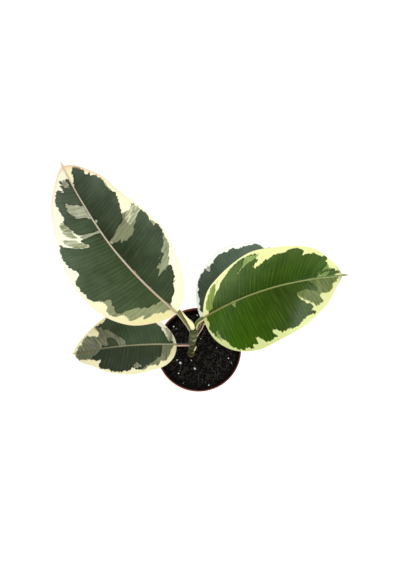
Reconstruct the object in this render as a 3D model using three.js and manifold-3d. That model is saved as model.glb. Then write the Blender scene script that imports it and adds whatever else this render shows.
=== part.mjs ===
// A young rubber plant with variegated leaves, in a round plastic nursery pot.
// Millimetres, +Z up. The origin is the middle of the pot's underside, where it stands.
// The view that the plant was measured from looks down along +Y, so "left" is -X and "back" is +Y.
import * as THREE from 'three'
import { mergeVertices } from 'three/addons/utils/BufferGeometryUtils.js'
import Module from 'manifold-3d'

const wasm = await Module()
wasm.setup()

const RAD = Math.PI / 180
const GOLDEN_ANGLE = 137.508 * RAD
const GAP = 0.3 // clearance between neighbouring pieces

// ---------------------------------------------------------------- driving dimensions
// Pot: a nominal four-inch grower's pot.
const POT_DIAMETER = 105 // over the rim
const POT_HEIGHT = 90
const POT_BASE_DIAMETER = 75
const WALL = 1.2
const COLLAR_HEIGHT = 12 // the thicker band under the rim
const COLLAR_STEP = 1.6 // how far the band stands out from the wall
const COLLAR_FOOT_SHARE = 0.8 // share of that step at the band's foot
const LIP = 0.6 // radius of the rounded rim edge
const FOOT_CHAMFER = 0.9 // the cut corner where the wall meets the foot ring
const FLOOR_TOP = 4.4
const CHANNEL_RISE = 2.2 // the drained ring of the floor stands this far above the surface
const CHANNEL_IN = 14
const CHANNEL_OUT = 31
const DRAIN_HOLES = 8
const DRAIN_RADIUS = 3.2
const POT_SIDES = 48

// Soil: fills the pot to just under the rim.
const SOIL_TOP = 87
const SOIL_RELIEF = 1.5 // height of the lumps
const SOIL_LUMP = 9 // width of a large lump
const SOIL_CRUMB = 3.9 // width of a small one
const SOIL_LUMP_SHARE = 0.6 // share of the relief that the large lumps take
const SOIL_SINK = 1.2 // the soil lies this much lower at the wall than in the middle
const SOIL_CALM_RING = 4 // the lumps fade over this distance from the wall
const SOIL_CALM = 0.35 // share of the lumps that is left at the wall
const SOIL_RINGS = 14
const SOIL_SIDES = 40

// White perlite grains that show on the soil: [x, y, width].
const PERLITE = [
  [-24.9, -18.4, 4.2], [-28.6, -15.4, 2.4], [-5.3, -26.2, 3.6], [-9.1, -17.4, 1.9],
  [17.5, -24.8, 2.8], [39, -12.1, 2.6], [41.6, -18.4, 2.3], [-26.6, -32.4, 2.8],
  [12.8, -44.6, 2.8], [-20.6, -42.6, 2.2], [3.3, 12.6, 2.6], [-33.6, 27.9, 2.6],
  [24.8, -4.6, 1.8], [-12, 30.2, 2.3], [-3, 41.2, 2.6], [27.5, -36.4, 2],
]
const PERLITE_EXTRA = 12 // further grains, scattered by a golden-angle rule
const PERLITE_EXTRA_WIDTH = [1.6, 2.8] // narrowest and widest of them
const PERLITE_FLATNESS = 0.7 // height of a grain as a share of its width
const PERLITE_SINK = 0.08 // share of its width that a grain's middle lies under the soil
const BARK_CHIPS = 14 // dark bark and root bits of the mix, scattered the same way
const CHIP_LENGTH = [4, 9] // shortest and longest chip
const CHIP_SECTION = [0.32, 0.26] // width and height as shares of the length
const CHIP_TILT = 0.35 // largest tilt between two chips, in radians
const SCATTER_MARGIN = 6 // scattered pieces stay this far from the wall
const SCATTER_SWING = 1.3 // largest random turn of a scattered piece's place about the middle, in radians
const STEM_CLEARING = 9.5 // no scattered piece lies nearer the stem's centre than this

// Stem: leans a little to the back. Points of its centre line, bottom to top.
const STEM_LINE = [[-10.6, -9.2, 56], [-9.8, -7.2, 78], [-8.4, -4.6, 120], [-6.6, -1.2, 160], [-5, 2, 191]]
const STEM_RADIUS_FOOT = 3.2
const STEM_RADIUS_TOP = 4.3
const STEM_WIDENING = 2 // above 1, the stem widens mostly near its top
const STEM_FOOT_SWELL = 0.6 // the old woody foot at the soil
const STEM_FOOT_REACH = 9 // how far up and down the foot's swelling fades
const STEM_CROWN = 0.025 // share of the length over which the top draws in
const STEM_CROWN_SHARE = 0.55 // share of the radius that is left at the very top
const NODE_SWELL = 0.7 // the raised ring that a fallen bud sheath leaves round the stem
const NODE_HEIGHTS = [94, 112, 131, 150, 166, 182]
const NODE_SPREAD = 2.2
const STEM_STEPS = 42
const STEM_SIDES = 16

// Terminal bud: the rolled new leaf in its long pointed sheath.
const BUD_LINE = [[-5.8, 2.9, 187.5], [-8, 5.6, 201], [-10.7, 7.4, 211], [-13.8, 9.1, 221], [-17.3, 12.4, 231]]
const BUD_RADIUS = 2.45
const BUD_POINT_RADIUS = 0.32
const BUD_FOOT_SHARE = 0.85 // share of the radius where the sheath leaves the stem
const BUD_BELLY_END = 0.6 // share of the length where the belly has gone
const BUD_TAPER_FROM = 0.3 // share of the length where the taper begins
const BUD_TAPER_POWER = 2 // above 1, the taper is fuller low down
const SIDE_BUD_LINE = [[-6.8, -6.4, 112.5], [-5, -5.4, 117], [-3, -3.4, 122.5]] // low on the stem's right
const SIDE_BUD_RADIUS = 1.4
const SIDE_BUD_ARC = [0.3, 0.93] // the stretch of a half sine wave that its outline follows
const SIDE_BUD_POWER = 0.8 // below 1, the outline is blunter than a sine wave
const BUD_STEPS = 18
const BUD_SIDES = 12

// Leaves. A blade hangs on its midrib: base is where the blade starts, heading is the way the midrib
// points at the base in degrees from +X, and bend turns it by that much along its length. pitch is its
// rise at the base and droop what it loses to the tip. The petiole starts at root inside the stem and
// passes through elbow on its way to the base. roll turns the blade about the midrib and twist
// adds to it along the length. left and right are half widths at STATIONS, foldLeft and foldRight how
// steeply each half rises from the midrib, and cup how far the margins curl down. slant says how far a
// side vein runs towards the tip on the left and on the right half.
const STATIONS = [0, 0.06, 0.16, 0.3, 0.45, 0.6, 0.74, 0.86, 0.94, 1]
const LEAVES = [
  {
    name: 'leaf_back_left', colour: '#3d5a3c', root: [-5.6, 1, 182.5], elbow: [-13.4, 10.2, 191],
    base: [-21.3, 18.7, 205],
    length: 197, heading: 151.5, bend: -37.5, pitch: 46, droop: -34, roll: -6.5, twist: -2,
    left: [24, 43, 54, 55.5, 50, 39, 28, 15], right: [24.5, 37, 47, 50.5, 45.5, 37, 30, 19],
    foldLeft: -3.5, foldRight: 4.5, cup: -8, drip: 0.035, wave: 1.1, wavePhase: 0.4, slant: [0.36, 0.36],
    petioleRadius: 2.9,
  },
  {
    name: 'leaf_right', colour: '#4a7420', root: [-4.2, 2.6, 186.5], elbow: [-1.2, 8.8, 192],
    base: [4.6, 12.2, 205],
    length: 169.5, heading: 23.5, bend: -16, pitch: 36, droop: -64, roll: -20, twist: 32.5,
    left: [31, 39.5, 45.5, 48.5, 44.5, 39, 31, 17.5], right: [35, 51, 57.5, 54.5, 49, 39.5, 27.5, 13.5],
    foldLeft: -5, foldRight: 5, cup: -8, drip: 0.06, wave: 0.9, wavePhase: 2.1, slant: [0.8, 0.4],
    petioleRadius: 2.5,
  },
  {
    name: 'leaf_left_low', colour: '#3a5038', root: [-7.8, -3.4, 134], elbow: [-17, -4.8, 139.5],
    base: [-25.3, -5.6, 146],
    length: 119.5, heading: 184, bend: 10.5, pitch: 30, droop: -20, roll: 3.5, twist: 0,
    left: [17.5, 25.5, 29.5, 32.5, 31, 26, 17.5, 12.5], right: [16.5, 27.5, 31.5, 34.5, 38.5, 30.5, 20, 11.5],
    foldLeft: 8, foldRight: 8, cup: -5, drip: 0.03, wave: 0.8, wavePhase: 1.2, slant: [0.5, 0.5],
    petioleRadius: 1.9,
  },
  {
    name: 'leaf_back_low', colour: '#41584a', root: [-7, -2, 152], elbow: [2.6, 10.9, 160],
    base: [5.7, 17.2, 168],
    length: 134, heading: 58.5, bend: -16, pitch: 4, droop: -34, roll: 0, twist: 0,
    left: [13, 24, 33.5, 36.5, 37, 31, 24, 16], right: [14.5, 24.5, 33, 37.5, 36.5, 31.5, 24, 15.5],
    foldLeft: 8, foldRight: 8, cup: -5, drip: 0.05, wave: 0.8, wavePhase: 3.3, slant: [0.5, 0.5],
    petioleRadius: 2,
  },
]
const BLADE_THICKNESS = 0.8
const DRIP_HALF_WIDTH = 1.6 // half width of the narrow drip tip where it leaves the blade
const TIP_HALF_WIDTH = 0.4 // half width at the very ends of a blade
const DRIP_POWER = 0.9 // below 1, the drip tip keeps its width for longer
const DRIP_BLEND = 1.6 // the drip tip starts under the blade's end, this many of its lengths from the point
const WAVES = 2.5 // waves along each margin
const VEIN_RELIEF = 0.22 // height of the ribs that the side veins raise
const VEIN_SWEEP = 1.15 // above 1, a side vein turns towards the tip as it runs out
const KEEL_HALF_WIDTH = [2, 0.7] // the midrib under the blade, at the base and at the tip
const KEEL_DEPTH = [2.2, 0.4]
const BLADE_ROWS = 36
const BLADE_COLUMNS = [0, 0.07, 0.24, 0.48, 0.74, 1] // shares of a half width, midrib to margin
const MIDRIB_STEPS = 200
const PETIOLE_RUN = 16 // how far the petiole runs on under the midrib
const PETIOLE_RUN_DEPTH = 0.8 // depth of its end under the midrib, as a share of its radius
const PETIOLE_FOOT_SWELL = 0.12 // how much thicker it is at the stem
const PETIOLE_FOOT_REACH = 0.3 // share of its length over which that fades
const PETIOLE_THINS_FROM = 0.62 // share of its length where it begins to thin into the midrib
const PETIOLE_THINNING = 0.62 // share of the radius that it has lost at its end
const PETIOLE_STEPS = 14
const PETIOLE_SIDES = 12

// ---------------------------------------------------------------- small helpers
const V = (p) => new THREE.Vector3(...p)
const mix = (a, b, t) => a + (b - a) * t
const clamp = (x, low, high) => Math.min(high, Math.max(low, x))

// A repeatable random number in 0..1 for a whole number.
function dice(n) {
  const s = Math.sin(n * 127.1 + 311.7) * 43758.5453
  return s - Math.floor(s)
}

// Smooth bumps with the given spacing: random heights at grid corners, blended between them.
function bumps(x, y) {
  const xi = Math.floor(x)
  const yi = Math.floor(y)
  const ease = (t) => t * t * (3 - 2 * t)
  const corner = (i, j) => dice((xi + i) * 57 + (yi + j) * 131)
  const u = ease(x - xi)
  return mix(mix(corner(0, 0), corner(1, 0), u), mix(corner(0, 1), corner(1, 1), u), ease(y - yi))
}

// A cubic through the points (x[i], y[i]), with the slope at each point taken from its neighbours.
function smoothThrough(x, y, at) {
  const last = x.length - 1
  const rise = (i) => (y[i + 1] - y[i]) / (x[i + 1] - x[i])
  const slope = (i) => {
    if (i === 0) return rise(0)
    if (i === last) return rise(last - 1)
    const before = x[i] - x[i - 1]
    const after = x[i + 1] - x[i]
    return (rise(i - 1) * after + rise(i) * before) / (before + after)
  }
  let i = 0
  while (i < last - 1 && at >= x[i + 1]) i += 1
  const h = x[i + 1] - x[i]
  const s = (at - x[i]) / h
  return (2 * s ** 3 - 3 * s ** 2 + 1) * y[i] + (s ** 3 - 2 * s ** 2 + s) * h * slope(i)
    + (-2 * s ** 3 + 3 * s ** 2) * y[i + 1] + (s ** 3 - s ** 2) * h * slope(i + 1)
}

// A closed geometry as a solid that can be cut and joined.
function solid(geometry) {
  const bare = geometry.clone()
  bare.deleteAttribute('normal')
  bare.deleteAttribute('uv')
  const merged = mergeVertices(bare, 1e-4)
  const index = merged.index.array
  const kept = []
  for (let i = 0; i < index.length; i += 3) {
    const [a, b, c] = [index[i], index[i + 1], index[i + 2]]
    if (a !== b && b !== c && c !== a) kept.push(a, b, c)
  }
  const mesh = new wasm.Mesh({
    numProp: 3,
    vertProperties: merged.attributes.position.array,
    triVerts: new Uint32Array(kept),
  })
  return new wasm.Manifold(mesh)
}

// A solid as a three.js mesh with its own name and material.
function meshOf(made, name, colour, roughness) {
  const { vertProperties, triVerts } = made.getMesh()
  const geometry = new THREE.BufferGeometry()
  geometry.setAttribute('position', new THREE.BufferAttribute(new Float32Array(vertProperties), 3))
  geometry.setIndex(new THREE.BufferAttribute(new Uint32Array(triVerts), 1))
  geometry.computeVertexNormals()
  const material = new THREE.MeshStandardMaterial({ color: colour, roughness, metalness: 0 })
  const mesh = new THREE.Mesh(geometry, material)
  mesh.name = name
  return mesh
}

// A geometry from a list of points and a list of triangles.
function surface(points, triangles) {
  const geometry = new THREE.BufferGeometry()
  geometry.setAttribute('position', new THREE.Float32BufferAttribute(points.flatMap((p) => [p.x, p.y, p.z]), 3))
  geometry.setIndex(triangles.flat())
  return geometry
}

// A closed round bar along a curve, whose radius changes along it.
function taperedBar(curve, radiusAt, steps, sides) {
  const { normals, binormals } = curve.computeFrenetFrames(steps, false)
  const points = []
  const triangles = []
  for (let i = 0; i <= steps; i += 1) {
    const centre = curve.getPointAt(i / steps)
    for (let j = 0; j < sides; j += 1) {
      const angle = (2 * Math.PI * j) / sides
      const out = normals[i].clone().multiplyScalar(Math.cos(angle))
        .addScaledVector(binormals[i], Math.sin(angle))
      points.push(centre.clone().addScaledVector(out, radiusAt(i / steps)))
    }
  }
  for (let i = 0; i < steps; i += 1) {
    for (let j = 0; j < sides; j += 1) {
      const a = i * sides + j
      const b = i * sides + ((j + 1) % sides)
      triangles.push([a, b, b + sides], [a, b + sides, a + sides])
    }
  }
  const foot = points.push(curve.getPointAt(0)) - 1
  const top = points.push(curve.getPointAt(1)) - 1
  for (let j = 0; j < sides; j += 1) {
    const next = (j + 1) % sides
    triangles.push([foot, next, j], [top, steps * sides + j, steps * sides + next])
  }
  return surface(points, triangles)
}

// A profile of [radius, height] points from the axis out and back to the axis, turned about +Z.
function turned(profile, sides) {
  const points = profile.map(([r, z]) => new THREE.Vector2(r, z))
  return new THREE.LatheGeometry(points, sides).rotateX(Math.PI / 2)
}

// ---------------------------------------------------------------- pot
const baseRadius = POT_BASE_DIAMETER / 2
const wallTopRadius = POT_DIAMETER / 2 - COLLAR_STEP
const wallSlope = (wallTopRadius - baseRadius) / POT_HEIGHT
const outerRadius = (z) => baseRadius + wallSlope * z
const collarFoot = POT_HEIGHT - COLLAR_HEIGHT
const flareFoot = collarFoot - COLLAR_STEP // from here up the inside widens towards the rim
const lipCentre = POT_HEIGHT - LIP

// Radius of the inside: the wall's own taper, then a wider one inside the band.
function innerRadius(z) {
  if (z < flareFoot) return outerRadius(z) - WALL
  const rise = (z - flareFoot) / (lipCentre - flareFoot)
  return mix(outerRadius(flareFoot) - WALL, POT_DIAMETER / 2 - 2 * LIP, rise)
}

function pot() {
  const lip = [0, 45, 90, 135, 180].map((a) => [
    POT_DIAMETER / 2 - LIP + LIP * Math.cos(a * RAD),
    lipCentre + LIP * Math.sin(a * RAD),
  ])
  const profile = [
    [0, 0], [CHANNEL_IN, 0], [CHANNEL_IN, CHANNEL_RISE], [CHANNEL_OUT, CHANNEL_RISE],
    [CHANNEL_OUT, 0], [baseRadius - FOOT_CHAMFER, 0], [baseRadius, FOOT_CHAMFER],
    [outerRadius(flareFoot), flareFoot],
    [outerRadius(collarFoot) + COLLAR_STEP * COLLAR_FOOT_SHARE, collarFoot],
    ...lip,
    [innerRadius(flareFoot), flareFoot], [innerRadius(FLOOR_TOP), FLOOR_TOP], [0, FLOOR_TOP],
  ]
  let made = solid(turned(profile, POT_SIDES))
  for (let i = 0; i < DRAIN_HOLES; i += 1) {
    const angle = (2 * Math.PI * i) / DRAIN_HOLES
    const middle = (CHANNEL_IN + CHANNEL_OUT) / 2
    const drill = new THREE.CylinderGeometry(DRAIN_RADIUS, DRAIN_RADIUS, 3 * FLOOR_TOP, 16)
      .rotateX(Math.PI / 2)
      .translate(middle * Math.cos(angle), middle * Math.sin(angle), FLOOR_TOP / 2)
    made = made.subtract(solid(drill))
  }
  return made
}

// ---------------------------------------------------------------- stem
const stemCurve = new THREE.CatmullRomCurve3(STEM_LINE.map(V))

// The stem's radius at a share of its length: a swollen foot, a late widening and a ring at each node.
function stemRadius(t) {
  const z = stemCurve.getPointAt(t).z
  const rings = NODE_HEIGHTS.reduce((sum, h) => sum + Math.exp(-(((z - h) / NODE_SPREAD) ** 2)), 0)
  const foot = Math.exp(-(((z - SOIL_TOP) / STEM_FOOT_REACH) ** 2))
  const crown = clamp((1 - t) / STEM_CROWN, STEM_CROWN_SHARE, 1)
  const bare = mix(STEM_RADIUS_FOOT, STEM_RADIUS_TOP, t ** STEM_WIDENING)
  return (bare + NODE_SWELL * rings + STEM_FOOT_SWELL * foot) * crown
}

const stem = () => solid(taperedBar(stemCurve, stemRadius, STEM_STEPS, STEM_SIDES))

// The same bar made fatter and longer by the clearance, to cut what meets the stem.
const footDirection = stemCurve.getTangentAt(0)
const topDirection = stemCurve.getTangentAt(1)
const longerLine = [
  V(STEM_LINE[0]).addScaledVector(footDirection, -GAP),
  ...STEM_LINE.slice(1, -1).map(V),
  V(STEM_LINE.at(-1)).addScaledVector(topDirection, GAP),
]
const stemRoom = () => solid(taperedBar(
  new THREE.CatmullRomCurve3(longerLine), (t) => stemRadius(t) + GAP, STEM_STEPS, STEM_SIDES,
))

// ---------------------------------------------------------------- buds
const budCurve = new THREE.CatmullRomCurve3(BUD_LINE.map(V))

// The sheath's radius at a share of its length: fullest low down, then a long taper to the point.
function budRadius(t) {
  const belly = mix(BUD_FOOT_SHARE, 1, Math.sin(Math.PI * clamp(t / BUD_BELLY_END, 0, 1)))
  const taper = clamp((t - BUD_TAPER_FROM) / (1 - BUD_TAPER_FROM), 0, 1) ** BUD_TAPER_POWER
  return BUD_RADIUS * belly * (1 - taper) + BUD_POINT_RADIUS
}

// A bud in a leaf's angle: a blunt grain of a bud with a pointed end.
function sideBud() {
  const curve = new THREE.CatmullRomCurve3(SIDE_BUD_LINE.map(V))
  const radius = (t) => SIDE_BUD_RADIUS * Math.sin(Math.PI * mix(...SIDE_BUD_ARC, t)) ** SIDE_BUD_POWER
  return solid(taperedBar(curve, radius, BUD_STEPS / 2, BUD_SIDES)).subtract(stemRoom())
}

const bud = () => solid(taperedBar(budCurve, budRadius, BUD_STEPS, BUD_SIDES)).subtract(stemRoom())
const budRoom = () => solid(taperedBar(budCurve, (t) => budRadius(t) + GAP, BUD_STEPS, BUD_SIDES))

// ---------------------------------------------------------------- leaves
// The midrib's points and, at each, the way along it, the way across the blade and the blade's upward way.
function midribOf(leaf) {
  const frames = []
  const place = V(leaf.base)
  let before = null
  for (let i = 0; i <= MIDRIB_STEPS; i += 1) {
    const t = i / MIDRIB_STEPS
    const heading = (leaf.heading + leaf.bend * t) * RAD
    const pitch = (leaf.pitch + leaf.droop * t) * RAD
    const along = V([Math.cos(pitch) * Math.cos(heading), Math.cos(pitch) * Math.sin(heading), Math.sin(pitch)])
    if (before) place.addScaledVector(before.clone().add(along), leaf.length / MIDRIB_STEPS / 2)
    const across = V([-Math.sin(heading), Math.cos(heading), 0])
      .applyAxisAngle(along, (leaf.roll + leaf.twist * t) * RAD)
    frames.push({ place: place.clone(), along, across, up: along.clone().cross(across) })
    before = along
  }
  return frames
}

// The frame at any share t of the midrib, between its stored points.
function frameAt(frames, t) {
  const at = clamp(t, 0, 1) * MIDRIB_STEPS
  const i = Math.min(Math.floor(at), MIDRIB_STEPS - 1)
  const blend = (key) => frames[i][key].clone().lerp(frames[i + 1][key], at - i)
  return { place: blend('place'), along: blend('along'), across: blend('across'), up: blend('up') }
}

// Half width of a blade at station t. The base is round because the cubic runs over the angle whose
// cosine falls from 1 at the base to -1 at the tip; past the blade's end only the drip tip is left.
function halfWidth(leaf, side, t) {
  const blade = 1 - leaf.drip
  const angles = STATIONS.map((s) => Math.acos(1 - 2 * s))
  const widths = [0, ...leaf[side], 0]
  const wide = smoothThrough(angles, widths, Math.acos(clamp(1 - (2 * t) / blade, -1, 1)))
  const tip = DRIP_HALF_WIDTH * clamp((1 - t) / leaf.drip, 0, 1) ** DRIP_POWER
  return Math.max(TIP_HALF_WIDTH, wide, t > 1 - DRIP_BLEND * leaf.drip ? tip : 0)
}

// A point of the blade's upper face: t is the station where the side vein through it leaves the midrib,
// and v runs along that vein from 0 at the midrib to 1 at the left margin or -1 at the right one.
function bladePoint(leaf, frames, t, v) {
  const slant = leaf.slant[v > 0 ? 0 : 1] * t ** 1.5 * (1 - t)
  const share = Math.abs(v)
  const margin = halfWidth(leaf, v > 0 ? 'left' : 'right', t + slant)
  const out = share * margin
  const fold = (v > 0 ? leaf.foldLeft : leaf.foldRight) * RAD
  const widest = Math.max(...leaf.left, ...leaf.right)
  const curl = leaf.cup * share ** 2 * (margin / widest)
  const swing = Math.sin(2 * Math.PI * WAVES * t + leaf.wavePhase + v)
  const wave = leaf.wave * share ** 3 * (margin / widest) * swing
  const { place, across, up } = frameAt(frames, t + slant * share ** VEIN_SWEEP)
  return {
    point: place.addScaledVector(across, Math.sign(v) * out * Math.cos(fold))
      .addScaledVector(up, out * Math.sin(fold) + curl + wave),
    up,
    out,
  }
}

// The blade: an upper and a lower face with the same triangles, joined round the margin. Every second
// row is a raised side vein, and the midrib stands out as a keel under the blade.
function blade(leaf, frames) {
  const shares = [...BLADE_COLUMNS.slice(1).reverse().map((s) => -s), ...BLADE_COLUMNS]
  const columns = shares.length
  const upper = []
  const lower = []
  for (let i = 0; i <= BLADE_ROWS; i += 1) {
    const t = (1 - Math.cos((Math.PI * i) / BLADE_ROWS)) / 2
    const keelWidth = mix(...KEEL_HALF_WIDTH, t)
    const keelDepth = mix(...KEEL_DEPTH, t)
    for (const v of shares) {
      const { point, up, out } = bladePoint(leaf, frames, t, v)
      const inner = Math.sin(Math.PI * clamp(Math.abs(v), 0, 1))
      const rib = (i % 2 ? 1 : -1) * VEIN_RELIEF * inner
      const keel = keelDepth * Math.exp(-((out / keelWidth) ** 2))
      upper.push(point.clone().addScaledVector(up, rib))
      lower.push(point.clone().addScaledVector(up, rib - BLADE_THICKNESS - keel))
    }
  }
  const size = upper.length
  const triangles = []
  const quad = (a, b, c, d) => triangles.push([a, b, c], [a, c, d])
  for (let i = 0; i < BLADE_ROWS; i += 1) {
    for (let j = 0; j < columns - 1; j += 1) {
      const a = i * columns + j
      const [b, c, d] = [a + 1, a + columns + 1, a + columns]
      triangles.push([a, d, c], [a, c, b])
      triangles.push([size + a, size + c, size + d], [size + a, size + b, size + c])
    }
    const right = i * columns
    const left = right + columns - 1
    quad(right, size + right, size + right + columns, right + columns)
    quad(left, left + columns, size + left + columns, size + left)
  }
  for (let j = 0; j < columns - 1; j += 1) {
    const end = BLADE_ROWS * columns + j
    quad(j, j + 1, size + j + 1, size + j)
    quad(end, size + end, size + end + 1, end + 1)
  }
  return solid(surface([...upper, ...lower], triangles))
}

// The petiole: rises from inside the stem, bends up at its elbow to the blade's base and runs on under
// the midrib.
function petiole(leaf, frames) {
  const run = PETIOLE_RUN / leaf.length
  const seat = (t, depth) => {
    const { place, up } = frameAt(frames, t)
    return place.addScaledVector(up, -depth)
  }
  const end = seat(run, leaf.petioleRadius * PETIOLE_RUN_DEPTH)
  const curve = new THREE.CatmullRomCurve3([V(leaf.root), V(leaf.elbow), seat(0, leaf.petioleRadius), end])
  const radius = (t) => {
    const swell = PETIOLE_FOOT_SWELL * (1 - clamp(t / PETIOLE_FOOT_REACH, 0, 1))
    const thinned = PETIOLE_THINNING * clamp((t - PETIOLE_THINS_FROM) / (1 - PETIOLE_THINS_FROM), 0, 1)
    return leaf.petioleRadius * (1 + swell) * (1 - thinned)
  }
  return solid(taperedBar(curve, radius, PETIOLE_STEPS, PETIOLE_SIDES))
}

function leafSolid(leaf) {
  const frames = midribOf(leaf)
  return blade(leaf, frames).add(petiole(leaf, frames)).subtract(stemRoom()).subtract(budRoom())
}

// ---------------------------------------------------------------- soil
const LUMP_PLACE = 40 // where in the field of bumps the large lumps are read, and the small ones
const CRUMB_PLACE = 90

// Height of the soil at a point: lumps of two sizes that fade out at the pot's wall.
function soilHeight(x, y) {
  const r = Math.hypot(x, y)
  const lumps = bumps(x / SOIL_LUMP + LUMP_PLACE, y / SOIL_LUMP + LUMP_PLACE)
  const crumbs = bumps(x / SOIL_CRUMB + CRUMB_PLACE, y / SOIL_CRUMB + CRUMB_PLACE)
  const relief = mix(crumbs, lumps, SOIL_LUMP_SHARE) - 0.5
  const calm = clamp((innerRadius(SOIL_TOP) - r) / SOIL_CALM_RING, SOIL_CALM, 1)
  return SOIL_TOP + 2 * SOIL_RELIEF * relief * calm - SOIL_SINK * (r / innerRadius(SOIL_TOP)) ** 4
}

// A many-sided grain half sunk in the soil.
function grain(x, y, width, seed) {
  const shape = new THREE.IcosahedronGeometry(width / 2, 0)
    .scale(1, mix(0.75, 1.05, dice(seed)), PERLITE_FLATNESS)
    .rotateZ(2 * Math.PI * dice(seed + 1))
    .translate(x, y, soilHeight(x, y) - width * PERLITE_SINK)
  return solid(shape)
}

// A flat splinter of bark lying on the soil.
function chip(x, y, length, seed) {
  const shape = new THREE.IcosahedronGeometry(length / 2, 0)
    .scale(1, ...CHIP_SECTION)
    .rotateY(CHIP_TILT * (dice(seed) - 0.5))
    .rotateZ(2 * Math.PI * dice(seed + 1))
    .translate(x, y, soilHeight(x, y))
  return solid(shape)
}

// Places spread evenly over the soil by the golden angle, with a small random shift, clear of the stem.
function spread(count, seed) {
  const places = []
  for (let n = 0; n < count; n += 1) {
    const r = (innerRadius(SOIL_TOP) - SCATTER_MARGIN) * Math.sqrt((n + 0.5) / count)
    const angle = n * GOLDEN_ANGLE + SCATTER_SWING * dice(n + seed)
    const place = [r * Math.cos(angle), r * Math.sin(angle)]
    if (Math.hypot(place[0] - STEM_LINE[1][0], place[1] - STEM_LINE[1][1]) > STEM_CLEARING) places.push(place)
  }
  return places
}

function soil() {
  const edge = innerRadius(SOIL_TOP - 2 * SOIL_RELIEF) - GAP // clear of the wall where the soil dips
  const bottom = FLOOR_TOP + GAP
  const profile = [[0, bottom], [innerRadius(bottom) - GAP, bottom], [innerRadius(flareFoot) - GAP, flareFoot]]
  for (let i = 0; i <= SOIL_RINGS; i += 1) profile.push([edge * (1 - i / SOIL_RINGS), SOIL_TOP])
  const body = turned(profile, SOIL_SIDES)
  const place = body.attributes.position
  for (let i = 0; i < place.count; i += 1) {
    if (place.getZ(i) > SOIL_TOP - 1) place.setZ(i, soilHeight(place.getX(i), place.getY(i)))
  }
  let made = solid(body)
  PERLITE.forEach(([x, y, width], i) => {
    made = made.add(grain(x, y, width, 10 * i))
  })
  spread(PERLITE_EXTRA, 500).forEach(([x, y], i) => {
    made = made.add(grain(x, y, mix(...PERLITE_EXTRA_WIDTH, dice(i + 900)), i + 700))
  })
  spread(BARK_CHIPS, 100).forEach(([x, y], i) => {
    made = made.add(chip(x, y, mix(...CHIP_LENGTH, dice(i + 300)), i + 200))
  })
  return made.subtract(stemRoom())
}

// ---------------------------------------------------------------- the plant in its pot
const plant = new THREE.Group()
plant.add(meshOf(pot(), 'pot', '#8a4a35', 0.55))
plant.add(meshOf(soil(), 'soil', '#1d1814', 0.95))
plant.add(meshOf(stem(), 'stem', '#5d6a3e', 0.6))
plant.add(meshOf(bud(), 'terminal_bud', '#d9d396', 0.45))
plant.add(meshOf(sideBud(), 'side_bud', '#d8d2a6', 0.5))
for (const leaf of LEAVES) plant.add(meshOf(leafSolid(leaf), leaf.name, leaf.colour, 0.35))

export default plant
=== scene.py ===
# %% [markdown]
# # A variegated rubber plant in its nursery pot
#
# A solid model of the plant already exists: a pot, its soil, one stem, four leaves and two buds, each at
# its real size. This lesson dresses it. Every piece is worked out again as a fine surface in the place
# of the solid one, and gets the finish of the real thing: leathery leaves with cream margins, a green
# stem with ring scars, moulded plastic and dark crumbly soil.
#
# The frame is the solid model's own: +Z up, the origin in the middle of the pot's underside, and -Y
# towards the viewer. Numbers are in millimetres until a mesh is made, and MM turns them into metres.

import bpy
import numpy as np
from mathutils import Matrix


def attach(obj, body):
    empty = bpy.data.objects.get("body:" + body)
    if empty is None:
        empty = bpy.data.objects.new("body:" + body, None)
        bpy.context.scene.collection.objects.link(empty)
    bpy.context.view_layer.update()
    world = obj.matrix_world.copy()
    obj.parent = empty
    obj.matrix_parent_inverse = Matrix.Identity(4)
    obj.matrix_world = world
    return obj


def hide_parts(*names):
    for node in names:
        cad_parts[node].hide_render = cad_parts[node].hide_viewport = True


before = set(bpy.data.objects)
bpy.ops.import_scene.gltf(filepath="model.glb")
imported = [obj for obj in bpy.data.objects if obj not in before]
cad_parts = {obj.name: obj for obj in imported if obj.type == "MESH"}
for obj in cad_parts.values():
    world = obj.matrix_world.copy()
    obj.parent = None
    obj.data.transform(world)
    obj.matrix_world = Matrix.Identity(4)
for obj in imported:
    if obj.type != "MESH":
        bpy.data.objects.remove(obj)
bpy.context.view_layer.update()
MM = 0.001
print("solid pieces:", ", ".join(sorted(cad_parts)))

# %% [markdown]
# ## The camera
#
# The plant is looked down on from in front, 73 degrees below the horizon and 0.69 m from the pot's rim,
# with a 35 mm lens. The ellipse that the round rim makes in a picture gave the camera's place. From there
# the leaves hide most of the pot, and the stem shows only between them.

# %% Camera
CAMERA_PLACE = (1.486, -125.309, 769.215)
CAMERA_LOOKS_DOWN = 73.0  # degrees below the horizon
CAMERA_LENS = 35.0
CAMERA_SENSOR = 36.0

lens = bpy.data.cameras.new("camera")
lens.lens = CAMERA_LENS
lens.sensor_width = CAMERA_SENSOR
lens.clip_start = 0.01
camera = bpy.data.objects.new("camera", lens)
bpy.context.collection.objects.link(camera)
camera.location = np.array(CAMERA_PLACE) * MM
camera.rotation_euler = (np.radians(90 - CAMERA_LOOKS_DOWN), 0, 0)
bpy.context.scene.camera = camera
bpy.context.scene.view_settings.view_transform = "Standard"
print("camera", round(CAMERA_PLACE[2]), "mm above the floor, looking down by", CAMERA_LOOKS_DOWN, "degrees")

# %% [markdown]
# ## Colours and nodes
#
# Colours are easy to read off a screen as hex values, but light adds up in linear values, so one
# function turns one into the other. A second one adds a shader node with its settings and its links,
# which keeps every finish below to one line for each node. A third one turns the real size of a pattern,
# such as a grit, into the scale that its node wants.


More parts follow.
